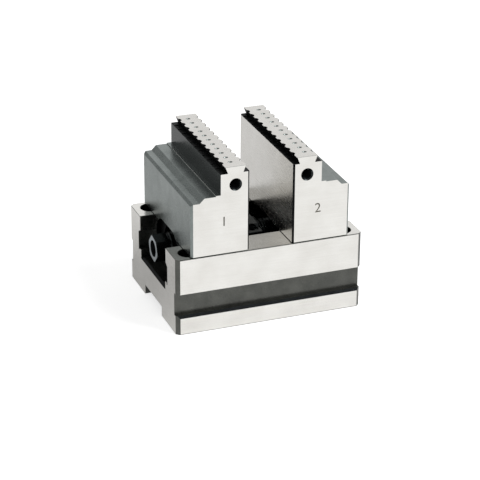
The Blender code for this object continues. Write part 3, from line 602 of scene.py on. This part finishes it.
def footOutline():
    s, b = jawSizes, baseSizes
    slope = b["slotRoofDrop"] / ((b["slotWidth"] - b["channel"]) / 2)
    roof = b["slotRoof"] - s["slotClearance"] * math.sqrt(1 + slope * slope)
    wall = b["channel"] / 2
    return rounded(mirrored([
        (s["footKeel"], s["footLow"], s["keelRound"]), (s["footKeel"], s["footBed"]),
        (s["footTongue"], s["footBed"], s["tongueRound"]),
        (s["footTongue"], roof - slope * (s["footTongue"] - wall), s["tongueRound"]),
        (s["footNeck"], roof - slope * (s["footNeck"] - wall)), (s["footNeck"], s["low"] + over)]))


def jawPlan(side):
    # the jaw seen from above, past its faces, with the chamfers of its four upright edges
    s = jawSizes
    half, cut, small = s["width"] / 2, s["sideChamfer"], s["innerChamfer"]
    near, far = s["inner"], s["outer"]
    points = [(near - over, -half + small + over), (near + small + over, -half - over),
              (far - cut - over, -half - over), (far + over, cut + over - half),
              (far + over, half - cut - over), (far - cut - over, half + over),
              (near + small + over, half + over), (near - over, half - small - over)]
    return [(side * x, y) for x, y in points]


def stopHoleTools(side):
    hole, half = stopHole, jawSizes["width"] / 2
    mouth, core = hole["mouth"], hole["core"]
    depth = hole["crest"] - core + hole["overlap"]
    at = Vector((side * hole["x"], 0.0, hole["height"]))
    floor = half - hole["length"]
    profile = [(floor - over, 0.0), (floor, core), (half - mouth + core, core), (half + over, mouth + over),
               (half + over, 0.0)]
    tools = []
    for way in (-1, 1):
        tools.append(turned([(way * y, radius) for y, radius in profile], "Y", at, sides=48))
        rod = threadedRod(hole["length"], hole["pitch"], hole["crest"], depth, depth, hole["columns"])
        swing = Matrix.Rotation(-way * math.pi / 2, 4, "Z")       # the rod then runs inwards from its face
        place = Matrix.Translation(at + Vector((0.0, way * (half + hole["lead"]), 0.0))) @ swing
        bmesh.ops.transform(rod, matrix=place, verts=rod.verts)
        tools.append(rod)
    return tools


def sidePrism(outline, side, start, end):
    # a prism between two distances from the middle, on one side of it
    return prism(outline, "X", *sorted((side * start, side * end)))


def jawTools(side):
    s, b = jawSizes, baseSizes
    arch = rounded(mirrored([(s["arch"], b["height"] - over), (s["arch"], s["archTop"], s["archRound"])]))
    pocketHalf = [(s["pocket"], s["pocketLow"]), (s["pocket"], s["pocketTop"], s["pocketRound"])]
    pocket = rounded(mirrored(pocketHalf), steps=12)
    seat = [(s["footInner"] - over, 0.0), (s["footInner"] - over, s["nutBore"]), (s["nutSeat"], s["nutBore"]),
            (s["nutSeat"], s["nutCounterbore"]), (s["outer"] + over, s["nutCounterbore"]),
            (s["outer"] + over, 0.0)]
    nutSpace = turned([(side * x, radius) for x, radius in seat], "X", (0, 0, axisHeight), sides=96)
    tools = [sidePrism(arch, side, s["inner"] - over, s["footInner"]),
             sidePrism(pocket, side, s["outer"] - s["pocketDepth"], s["outer"] + over), nutSpace]
    at = (side * s["nutScrewX"], 0, s["nutScrewHeight"])
    for way in (-1, 1):
        low, high = sorted((way * s["nutBore"] / 2, way * (b["slotWidth"] / 2 + over)))
        tools.append(turned(bore(low, high, s["nutScrewRadius"]), "Y", at, sides=40))
    return tools + stopHoleTools(side)


def gripTree():
    # rows of round notches along both edges of the grip, and a row of oval dimples on its top
    tree, given = newTree("toothedGrip", {
        "Count": "Int", "Pitch": "Float", "Sides": "Int", "Rings": "Int", "Notch Radius": "Float",
        "Inner X": "Float", "Outer X": "Float", "Bottom": "Float", "Top": "Float", "Dimple X": "Float",
        "Dimple Length": "Float", "Dimple Width": "Float", "Dimple Depth": "Float", "Material": "Material"})
    heights = [given["Top"], given["Bottom"]]
    gaps = addNode(tree, maths, [given["Count"], 1.0], "SUBTRACT")
    halfPitch = addNode(tree, maths, [given["Pitch"], -0.5], "MULTIPLY")
    start = addNode(tree, maths, [gaps, halfPitch], "MULTIPLY")
    step = addNode(tree, "ShaderNodeCombineXYZ", {1: given["Pitch"]})
    tall = addNode(tree, maths, heights, "SUBTRACT")
    added = addNode(tree, maths, heights, "ADD")
    middle = addNode(tree, maths, [added, 0.5], "MULTIPLY")
    post = addNode(tree, "GeometryNodeMeshCylinder", {
        "Vertices": given["Sides"], "Radius": given["Notch Radius"], "Depth": tall})
    ball = addNode(tree, "GeometryNodeMeshUVSphere", {
        "Segments": given["Sides"], "Rings": given["Rings"], "Radius": 1.0})
    halves = [addNode(tree, maths, [given[name], 0.5], "MULTIPLY")
              for name in ("Dimple Length", "Dimple Width")]
    size = addNode(tree, "ShaderNodeCombineXYZ", [*halves, given["Dimple Depth"]])
    oval = addNode(tree, "GeometryNodeTransform", {"Geometry": ball, "Scale": size})
    top = addNode(tree, maths, [given["Top"], over], "SUBTRACT")
    joined = addNode(tree, "GeometryNodeJoinGeometry")
    for x, z, shape in ((given["Inner X"], middle, post), (given["Outer X"], middle, post),
                        (given["Dimple X"], top, oval)):
        first = addNode(tree, "ShaderNodeCombineXYZ", [x, start, z])
        line = addNode(tree, "GeometryNodeMeshLine", {
            "Count": given["Count"], "Start Location": first, "Offset": step})
        placed = addNode(tree, "GeometryNodeInstanceOnPoints", {"Points": line, "Instance": shape})
        row = addNode(tree, "GeometryNodeRealizeInstances", {"Geometry": placed})
        tree.links.new(row.outputs[0], joined.inputs[0])
    cut = addNode(tree, "GeometryNodeMeshBoolean", {
        "Mesh 1": given["Geometry"], "Mesh 2": joined}, "DIFFERENCE", solver="EXACT")
    closeTree(tree, cut, given["Material"])
    return tree


teeth = gripTree()


def numeralShape(text, x, z, face):
    # a numeral sunk into a front face
    curve = bpy.data.curves.new("numeral", "FONT")
    curve.body, curve.size, curve.extrude = text, numerals["height"], numerals["depth"]
    curve.align_x, curve.align_y = "CENTER", "CENTER"
    thing = bpy.data.objects.new("numeral", curve)
    bpy.context.collection.objects.link(thing)
    depsgraph = bpy.context.evaluated_depsgraph_get()
    mesh = bpy.data.meshes.new_from_object(thing.evaluated_get(depsgraph))
    bpy.data.objects.remove(thing)
    bm = bmesh.new()
    bm.from_mesh(mesh)
    bmesh.ops.remove_doubles(bm, verts=bm.verts, dist=weldDistance)
    upright = Matrix.Translation((x, face, z)) @ Matrix.Rotation(math.pi / 2, 4, "X")
    bmesh.ops.transform(bm, matrix=upright, verts=bm.verts)
    return bm


def jawFinish(side, numeralAt):
    s, g, hole = jawSizes, gripSizes, stopHole
    half = s["width"] / 2
    coneStart = half - hole["mouth"] + hole["core"]
    highlightWay = (0.2, 0.98)                                # how far upwards a face of the strip's edge looks

    def rule(spot, way):
        # 0 lines along the vise, 1 lines across it, 2 black oxide, 3 fill of the numeral, 4 nearly black
        # painted shade in the stop holes, on the grip's undercuts and notches, the inner chamfers and the
        # pocket, 5 oiled oxide
        out, outward = spot.x * side, way.x * side
        if abs(way.y) > square and abs(spot.y) > half - onPlane and spot.z > s["low"]:
            return 0
        if outward < -square and out < s["inner"] + onPlane:
            return 1
        if way.z > square and spot.z > s["top"] - onPlane:
            return 1
        fromNumeral = (Vector((spot.x, spot.z)) - Vector(numeralAt)).length
        if spot.y < -half + numerals["band"] and fromNumeral < numerals["height"]:
            return 3
        fromHole = Vector((spot.x - side * hole["x"], spot.z - hole["height"])).length
        if fromHole < hole["mouth"] and abs(spot.y) > coneStart - hole["slack"]:
            return 5
        if fromHole < hole["crest"] + 2 * closeBy and abs(spot.y) < coneStart + hole["slack"]:
            return 4
        inDimple = abs(out - g["Dimple X"]) < g["Dimple Length"] / 2
        if inDimple and spot.z > s["top"] - g["Dimple Depth"] - closeBy:
            return 2
        if spot.z > s["top"] - s["edge"] and abs(spot.y) > half - s["edge"]:
            return 1
        # the strip's rounded top edge is pale ground steel: a painted highlight
        fromStrip = abs(out - s["inner"] - s["block"] - s["strip"])
        onHighlight = highlightWay[0] < way.z < highlightWay[1]
        if onHighlight and fromStrip < s["stripHighlightBand"] and spot.z > s["step"] + s["stripHeight"] / 2:
            return 1
        # the grip's undercut flanks and notch walls are nearly black: painted shade
        if spot.z > s["ledge"] - g["Notch Below"] - closeBy:
            return 4
        if out < s["inner"] + s["innerChamfer"] and abs(way.y) > sloping and abs(way.x) > sloping:
            return 4
        inPocket = abs(spot.y) < s["pocket"] + closeBy and spot.z < s["pocketTop"] + closeBy
        if inPocket and out < s["outer"] - onPlane:
            return 4
        if spot.z > s["step"] + s["stripHeight"] and outward > leaning or spot.z < s["footTop"]:
            return 5
        return 2
    return rule


def makeJaw(side, word):
    s, g = jawSizes, gripSizes
    half = s["width"] / 2
    text, at = numerals[word]
    jaw = asObject("jaw", prism(jawOutline(side), "Y", -half, half, edge=s["edge"]))
    carve(jaw, ("UNION", sidePrism(footOutline(), side, s["footInner"], s["outer"])),
          ("INTERSECT", prism(jawPlan(side), "Z", 0.0, s["top"] + over)),
          ("DIFFERENCE", *jawTools(side), numeralShape(text, *at, -half)))
    runTree(jaw, teeth, {
        **g, "Dimple X": side * g["Dimple X"], "Inner X": side * (s["gripIn"] - g["Notch Offset"]),
        "Outer X": side * (s["gripOut"] + g["Notch Offset"]), "Bottom": s["ledge"] - g["Notch Below"],
        "Top": s["top"] + over, "Material": materials["blackOxideSteel"]})
    finishes = ("groundSteelLengthwise", "groundSteelCrosswise", "blackOxideSteel", "stampedNumeralFill",
                "paintedShadeFinish", "oiledOxideSteel")
    finishPiece(jaw, word + "_stepped_jaw", finishes, word + "_slider", [word + "_jaw"],
                jawFinish(side, at))


makeJaw(-1, "left")
makeJaw(1, "right")


# Screw
screwSizes = {
    "half": 39.8, "threadStart": 5.0, "threadEnd": 34.0, "crest": 6.0, "pitch": 1.25, "depth": 0.767,
    "chamfer": 0.8, "neck": 4.3, "sink": 0.1, "flats": 10.0, "turn": 12.0, "endFace": 5.45,
    "hexChamfer": 0.35, "cornerGap": 0.02, "recess": 3.5, "recessDepth": 1.8, "recessTaper": 0.4,
    "centreHole": 1.5, "centreHoleDepth": 5.0, "columns": 60,
}


def screwCore():
    # the plain neck in the middle
    s = screwSizes
    reach = s["threadStart"] + s["sink"]
    return turned(bore(-reach, reach, s["neck"]), "X", (0, 0, axisHeight), sides=60)


def hexagonEnd(side):
    # a hexagonal bar, turned to its chamfer, its recess and its centre hole
    s = screwSizes
    half, start, corner = s["half"], s["threadEnd"] - s["sink"], s["flats"] / math.sqrt(3)
    recessFloor, holeFloor = half - s["recessDepth"], half - s["centreHoleDepth"]
    section = hexagon(s["flats"], (0.0, axisHeight), s["turn"])
    bar = asObject("bar", sidePrism(section, side, start, half + over))
    mill = [(start - over, 0.0), (start - over, corner + over),
            (half - s["hexChamfer"], corner + s["cornerGap"]), (half, s["endFace"]), (half, s["recess"]),
            (recessFloor, s["recess"] - s["recessTaper"]), (recessFloor, s["centreHole"]),
            (holeFloor, s["centreHole"]), (holeFloor - s["centreHole"] / 2, 0.0)]
    shape = turned([(side * x, radius) for x, radius in mill], "X", (0, 0, axisHeight), sides=60)
    return shapeOf(carve(bar, ("INTERSECT", shape)))


def screwFinish(spot, way):
    # 0 oiled oxide, 1 the recess in each end, nearly black as painted shade, 2 the end face, pale as a
    # painted reflection
    s = screwSizes
    if abs(spot.x) > s["half"] - onPlane:
        return 2
    deep = abs(spot.x) > s["half"] - s["recessDepth"] - s["centreHoleDepth"]
    return int(deep and Vector((spot.y, spot.z - axisHeight)).length < s["recess"] - onPlane)


def makeScrew():
    s = screwSizes
    screw = asObject("screw", screwCore())
    parts = []
    for side in (-1, 1):
        rod = threadedRod(s["threadEnd"] - s["threadStart"], s["pitch"], s["crest"], s["depth"], s["chamfer"],
                          s["columns"])
        # a mirrored copy of the right-hand thread is left-hand
        start = Matrix.Translation((side * s["threadStart"], 0, axisHeight))
        bmesh.ops.transform(rod, matrix=start @ Matrix.Diagonal((side, 1, 1, 1)), verts=rod.verts)
        parts += [rod, hexagonEnd(side)]
    carve(screw, ("UNION", *parts))
    finishes = ("oiledOxideSteel", "paintedShadeFinish", "paintedSheenOxideSteel")
    finishPiece(screw, "threaded_screw", finishes, "screw", ["spindle"], screwFinish)


makeScrew()


# Middle bearing, nuts and fasteners
bearingSizes = {
    "half": 3.4, "width": 12.6, "bottom": 15.5, "bore": 6.5, "shellOuter": 6.2, "shellInner": 4.6,
    "split": 0.15, "hump": 7.9, "top": 33.4, "humpRound": 1.2, "shoulder": 32.2, "outerRound": 0.3,
    "splitRound": 0.2, "edge": 0.15, "screwY": 9.2, "screwHole": 1.55, "headHole": 2.55, "headSeat": 29.1,
    "dowelY": 4.2, "dowelHole": 1.8, "dowelTop": 18.8, "washerInner": 4.6, "washerOuter": 7.2,
    "washerStart": 3.7, "washerThickness": 1.0, "washerEdge": 0.12, "arcSteps": 36,
}
nutSizes = {
    "inner": 15.2, "outer": 27.4, "bore": 6.3, "radius": 7.5, "flange": 8.5, "flangeWidth": 2.0, "edge": 0.4,
    "flangeEdge": 0.2,
}
capScrews = {
    "Row Start": 9.2, "Top": 31.9, "Head Radius": 2.25, "Head Height": 2.5, "Shank Radius": 1.25,
    "Shank Length": 20.0, "Shank Sink": 0.1, "Socket Flats": 2.0, "Socket Depth": 1.5, "Sides": 48,
}
middle = (0.0, axisHeight)


def shellOutline(up):
    s = bearingSizes
    turn = 0 if up else 180
    outer, inner = s["shellOuter"], s["shellInner"]
    outerLift, innerLift = (math.degrees(math.asin(s["split"] / radius)) for radius in (outer, inner))
    return (arc(middle, outer, turn + outerLift, turn + 180 - outerLift, s["arcSteps"])
            + arc(middle, inner, turn + 180 - innerLift, turn + innerLift, s["arcSteps"]))


def makeHousing():
    # the block, and the cap that screws down on it
    s = bearingSizes
    half, wide, bottom, steps = s["half"], s["width"], s["bottom"], s["arcSteps"]
    lift = math.degrees(math.asin(s["split"] / s["bore"]))
    low, high = axisHeight - s["split"], axisHeight + s["split"]
    saddle = arc(middle, s["bore"], 360 - lift, 180 + lift, steps)
    block = [(wide, bottom, s["outerRound"]), (wide, low, s["splitRound"]), *saddle,
             (-wide, low, s["splitRound"]), (-wide, bottom, s["outerRound"])]
    humpSide = [(wide, high, s["splitRound"]), (wide, s["shoulder"], s["outerRound"]),
                (s["hump"], s["shoulder"]), (s["hump"], s["top"], s["humpRound"])]
    cap = mirrored(humpSide) + arc(middle, s["bore"], 180 - lift, lift, steps)
    blockPiece = asObject("block", prism(rounded(block), "X", -half, half, edge=s["edge"], steps=1))
    capPiece = asObject("cap", prism(rounded(cap, steps=5), "X", -half, half, edge=s["edge"], steps=1))
    shank, head, seat = s["screwHole"], s["headHole"], s["headSeat"]
    counterbored = [(low, 0.0), (low, shank), (seat, shank), (seat, head), (s["top"] + over, head),
                    (s["top"] + over, 0.0)]
    screwBore = bore(bottom - over, axisHeight, shank)
    dowelBore = bore(bottom - over, s["dowelTop"], s["dowelHole"])
    blockTools, capTools = [], []
    for side in (-1, 1):
        screwAt, dowelAt = (0, side * s["screwY"], 0), (0, side * s["dowelY"], 0)
        blockTools.append(turned(screwBore, "Z", screwAt, sides=40))
        blockTools.append(turned(dowelBore, "Z", dowelAt, sides=40))
        capTools.append(turned(counterbored, "Z", screwAt, sides=48))
    carve(blockPiece, ("DIFFERENCE", *blockTools))
    carve(capPiece, ("DIFFERENCE", *capTools))
    oxide = ["oiledOxideSteel"]
    finishPiece(blockPiece, "bearing_block", oxide, "base", ["center_block"])
    finishPiece(capPiece, "bearing_cap", oxide, "base", ["center_cap"])


def makeShells():
    half = bearingSizes["half"]
    for word, up in (("upper", True), ("lower", False)):
        shell = asObject("shell", prism(shellOutline(up), "X", -half, half))
        finishPiece(shell, "bronze_shell_" + word, ["turnedBronze"], "base",
                    ["bearing_shell_" + word])


def makeWashers():
    # open at the foot, and painted nearly black: painted shade of the channel
    s = bearingSizes
    gap = math.degrees(math.asin(s["washerInner"] / s["washerOuter"]))
    outline = (arc(middle, s["washerOuter"], -90 + gap, 270 - gap, 60)
               + arc(middle, s["washerInner"], 180, 0, s["arcSteps"]))
    for side, word in ((-1, "left"), (1, "right")):
        ends = sorted((side * s["washerStart"], side * (s["washerStart"] + s["washerThickness"])))
        washer = asObject("washer", prism(outline, "X", *ends, edge=s["washerEdge"], steps=1))
        finishPiece(washer, "bronze_washer_" + word, ["paintedShadeFinish"], "base",
                    ["thrust_washer_" + word])


def makeNuts():
    s = nutSizes
    edge, rim, shoulder = s["edge"], s["flangeEdge"], s["outer"] - s["flangeWidth"]
    profile = [(s["inner"], s["bore"] + edge), (s["inner"], s["radius"] - edge),
               (s["inner"] + edge, s["radius"]), (shoulder, s["radius"]), (shoulder, s["flange"] - rim),
               (shoulder + rim, s["flange"]), (s["outer"] - edge, s["flange"]),
               (s["outer"], s["flange"] - edge), (s["outer"], s["bore"] + edge),
               (s["outer"] - edge, s["bore"]), (s["inner"] + edge, s["bore"])]
    for side, word in ((-1, "left"), (1, "right")):
        shape = turned([(side * x, radius) for x, radius in profile], "X", (0, 0, axisHeight), sides=96)
        finishPiece(asObject("nut", shape), word + "_flanged_nut", ["turnedBronze"], word + "_slider",
                    [word + "_nut"])


def capScrewTree():
    # a row of two socket head screws, drawn once and placed as instances
    tree, given = newTree("socketScrews", {
        "Row Start": "Float", "Top": "Float", "Head Radius": "Float", "Head Height": "Float",
        "Shank Radius": "Float", "Shank Length": "Float", "Shank Sink": "Float", "Socket Flats": "Float",
        "Socket Depth": "Float", "Sides": "Int", "Material": "Material"})
    socketCorner = addNode(tree, maths, [given["Socket Flats"], math.sqrt(3)], "DIVIDE")
    headMiddle, halfShank, socketLength, firstY, apart = (
        addNode(tree, maths, [given[name], factor], "MULTIPLY") for name, factor in (
            ("Head Height", -0.5), ("Shank Length", -0.5), ("Socket Depth", 2.0), ("Row Start", -1.0),
            ("Row Start", 2.0)))
    shankStart = addNode(tree, maths, [given["Head Height"], given["Shank Sink"]], "SUBTRACT")
    shankMiddle = addNode(tree, maths, [halfShank, shankStart], "SUBTRACT")
    moved = []
    for sides, radius, length, height in (
            (given["Sides"], given["Head Radius"], given["Head Height"], headMiddle),
            (given["Sides"], given["Shank Radius"], given["Shank Length"], shankMiddle),
            (6, socketCorner, socketLength, 0.0)):
        shape = addNode(tree, "GeometryNodeMeshCylinder", {
            "Vertices": sides, "Radius": radius, "Depth": length})
        shift = addNode(tree, "ShaderNodeCombineXYZ", {2: height})
        moved.append(addNode(tree, "GeometryNodeTransform", {"Geometry": shape, "Translation": shift}))
    head, shank, socket = moved
    body = addNode(tree, "GeometryNodeMeshBoolean", {"Mesh 2": head}, "UNION", solver="EXACT")
    tree.links.new(shank.outputs[0], body.inputs["Mesh 2"])
    screw = addNode(tree, "GeometryNodeMeshBoolean", {
        "Mesh 1": body, "Mesh 2": socket}, "DIFFERENCE", solver="EXACT")
    line = addNode(tree, "GeometryNodeMeshLine", {
        "Count": 2, "Start Location": addNode(tree, "ShaderNodeCombineXYZ", {1: firstY, 2: given["Top"]}),
        "Offset": addNode(tree, "ShaderNodeCombineXYZ", {1: apart})})
    placed = addNode(tree, "GeometryNodeInstanceOnPoints", {"Points": line, "Instance": screw})
    closeTree(tree, placed, given["Material"])
    return tree


def makeCapScrews():
    screws = asObject("screws", bmesh.new())
    runTree(screws, capScrewTree(), {**capScrews, "Material": materials["oiledOxideSteel"]})
    finishPiece(screws, "cap_socket_screws", ["oiledOxideSteel"], "base",
                ["cap_screw_front", "cap_screw_back"])


makeHousing()
makeShells()
makeWashers()
makeNuts()
makeCapScrews()

# The pins and grub screws keep their solid's mesh and get their steel here
for name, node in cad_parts.items():
    if name.startswith("dowel") or "nut_screw" in name:
        for place in node.material_slots:
            place.material = materials["hardenedPinSteel"]


# Floor, sky and lamp of a plain white studio
studio = {
    "floorColour": "#cacaca", "floorGlow": 0.70, "floorReach": 6000.0, "floorLevel": -0.05,
    "frontInMirrors": 0.42, "backInMirrors": 0.17,
    "mirrorFront": -45.0, "mirrorBack": 25.0,              # where the floor's glow falls, along Y
    "skyLight": 0.5, "leftSkyInMirrors": 0.42, "rightSkyInMirrors": 0.84,
    "mirrorLeft": -0.4, "mirrorRight": 0.2,                # directions between which the sky brightens
    "sunLight": 2.0, "sunSize": 28.0, "sunFrom": (0.56, -0.40, 0.72),
}


def rays(tree):
    # what the camera sees, and what shining faces mirror
    path = addNode(tree, "ShaderNodeLightPath").outputs
    mirrors = addNode(tree, maths, [path["Is Glossy Ray"], path["Is Transmission Ray"]], "MAXIMUM")
    return path["Is Camera Ray"], mirrors


def makeFloor():
    s = studio
    reach, level = s["floorReach"] / 2, s["floorLevel"]
    bm = bmesh.new()
    corners = ((-reach, -reach), (reach, -reach), (reach, reach), (-reach, reach))
    bm.faces.new([bm.verts.new((x, y, level)) for x, y in corners])
    floor = asObject("studio_floor", bm)
    floor.data.transform(Matrix.Scale(millimetre, 4))
    material = bpy.data.materials.new("paperBackdrop")     # matt white paper: even, with a soft shadow
    material.use_nodes = True
    tree = material.node_tree
    tree.nodes.clear()
    direct, mirrors = rays(tree)
    place = addNode(tree, "ShaderNodeTexCoord").outputs["Object"]
    spot = addNode(tree, "ShaderNodeSeparateXYZ", [place])
    ahead = addNode(tree, "ShaderNodeMapRange", {
        "Value": spot.outputs[1], "From Min": s["mirrorFront"] * millimetre,
        "From Max": s["mirrorBack"] * millimetre,
        "To Min": s["frontInMirrors"], "To Max": s["backInMirrors"]})
    seen = addNode(tree, maths, [direct, s["floorGlow"]], "MULTIPLY")
    reflected = addNode(tree, maths, [mirrors, ahead], "MULTIPLY")
    glow = addNode(tree, maths, [seen, reflected], "ADD")
    paper = addNode(tree, "ShaderNodeBsdfDiffuse", {"Color": linear(s["floorColour"])})
    light = addNode(tree, "ShaderNodeEmission", {"Strength": glow})
    both = addNode(tree, "ShaderNodeAddShader", [paper, light])
    addNode(tree, "ShaderNodeOutputMaterial", {"Surface": both})
    floor.data.materials.append(material)


def makeSky():
    s = studio
    world = bpy.data.worlds.new("whiteStudio")
    bpy.context.scene.world = world
    world.use_nodes = True
    tree = world.node_tree
    tree.nodes.clear()
    direct, mirrors = rays(tree)
    direction = addNode(tree, "ShaderNodeTexCoord").outputs["Generated"]
    toward = addNode(tree, "ShaderNodeSeparateXYZ", [direction])
    wall = addNode(tree, "ShaderNodeMapRange", {
        "Value": toward.outputs[0], "From Min": s["mirrorLeft"], "From Max": s["mirrorRight"],
        "To Min": s["leftSkyInMirrors"], "To Max": s["rightSkyInMirrors"]})
    shown = addNode(tree, "ShaderNodeMix", {0: mirrors, 2: s["skyLight"], 3: wall}, data_type="FLOAT")
    strength = addNode(tree, "ShaderNodeMix", {0: direct, 2: shown, 3: 1.0}, data_type="FLOAT")
    sky = addNode(tree, "ShaderNodeBackground", {"Color": (1, 1, 1, 1), "Strength": strength})
    addNode(tree, "ShaderNodeOutputWorld", {"Surface": sky})


def makeSun():
    s = studio
    data = bpy.data.lights.new("sun", "SUN")
    data.energy = s["sunLight"]
    data.angle = math.radians(s["sunSize"])
    sun = bpy.data.objects.new("sun", data)
    sun.rotation_euler = Vector(s["sunFrom"]).to_track_quat("Z", "Y").to_euler()
    bpy.context.collection.objects.link(sun)


makeFloor()
makeSky()
makeSun()
bpy.context.scene.view_settings.view_transform = "Standard"
print("studio ready")
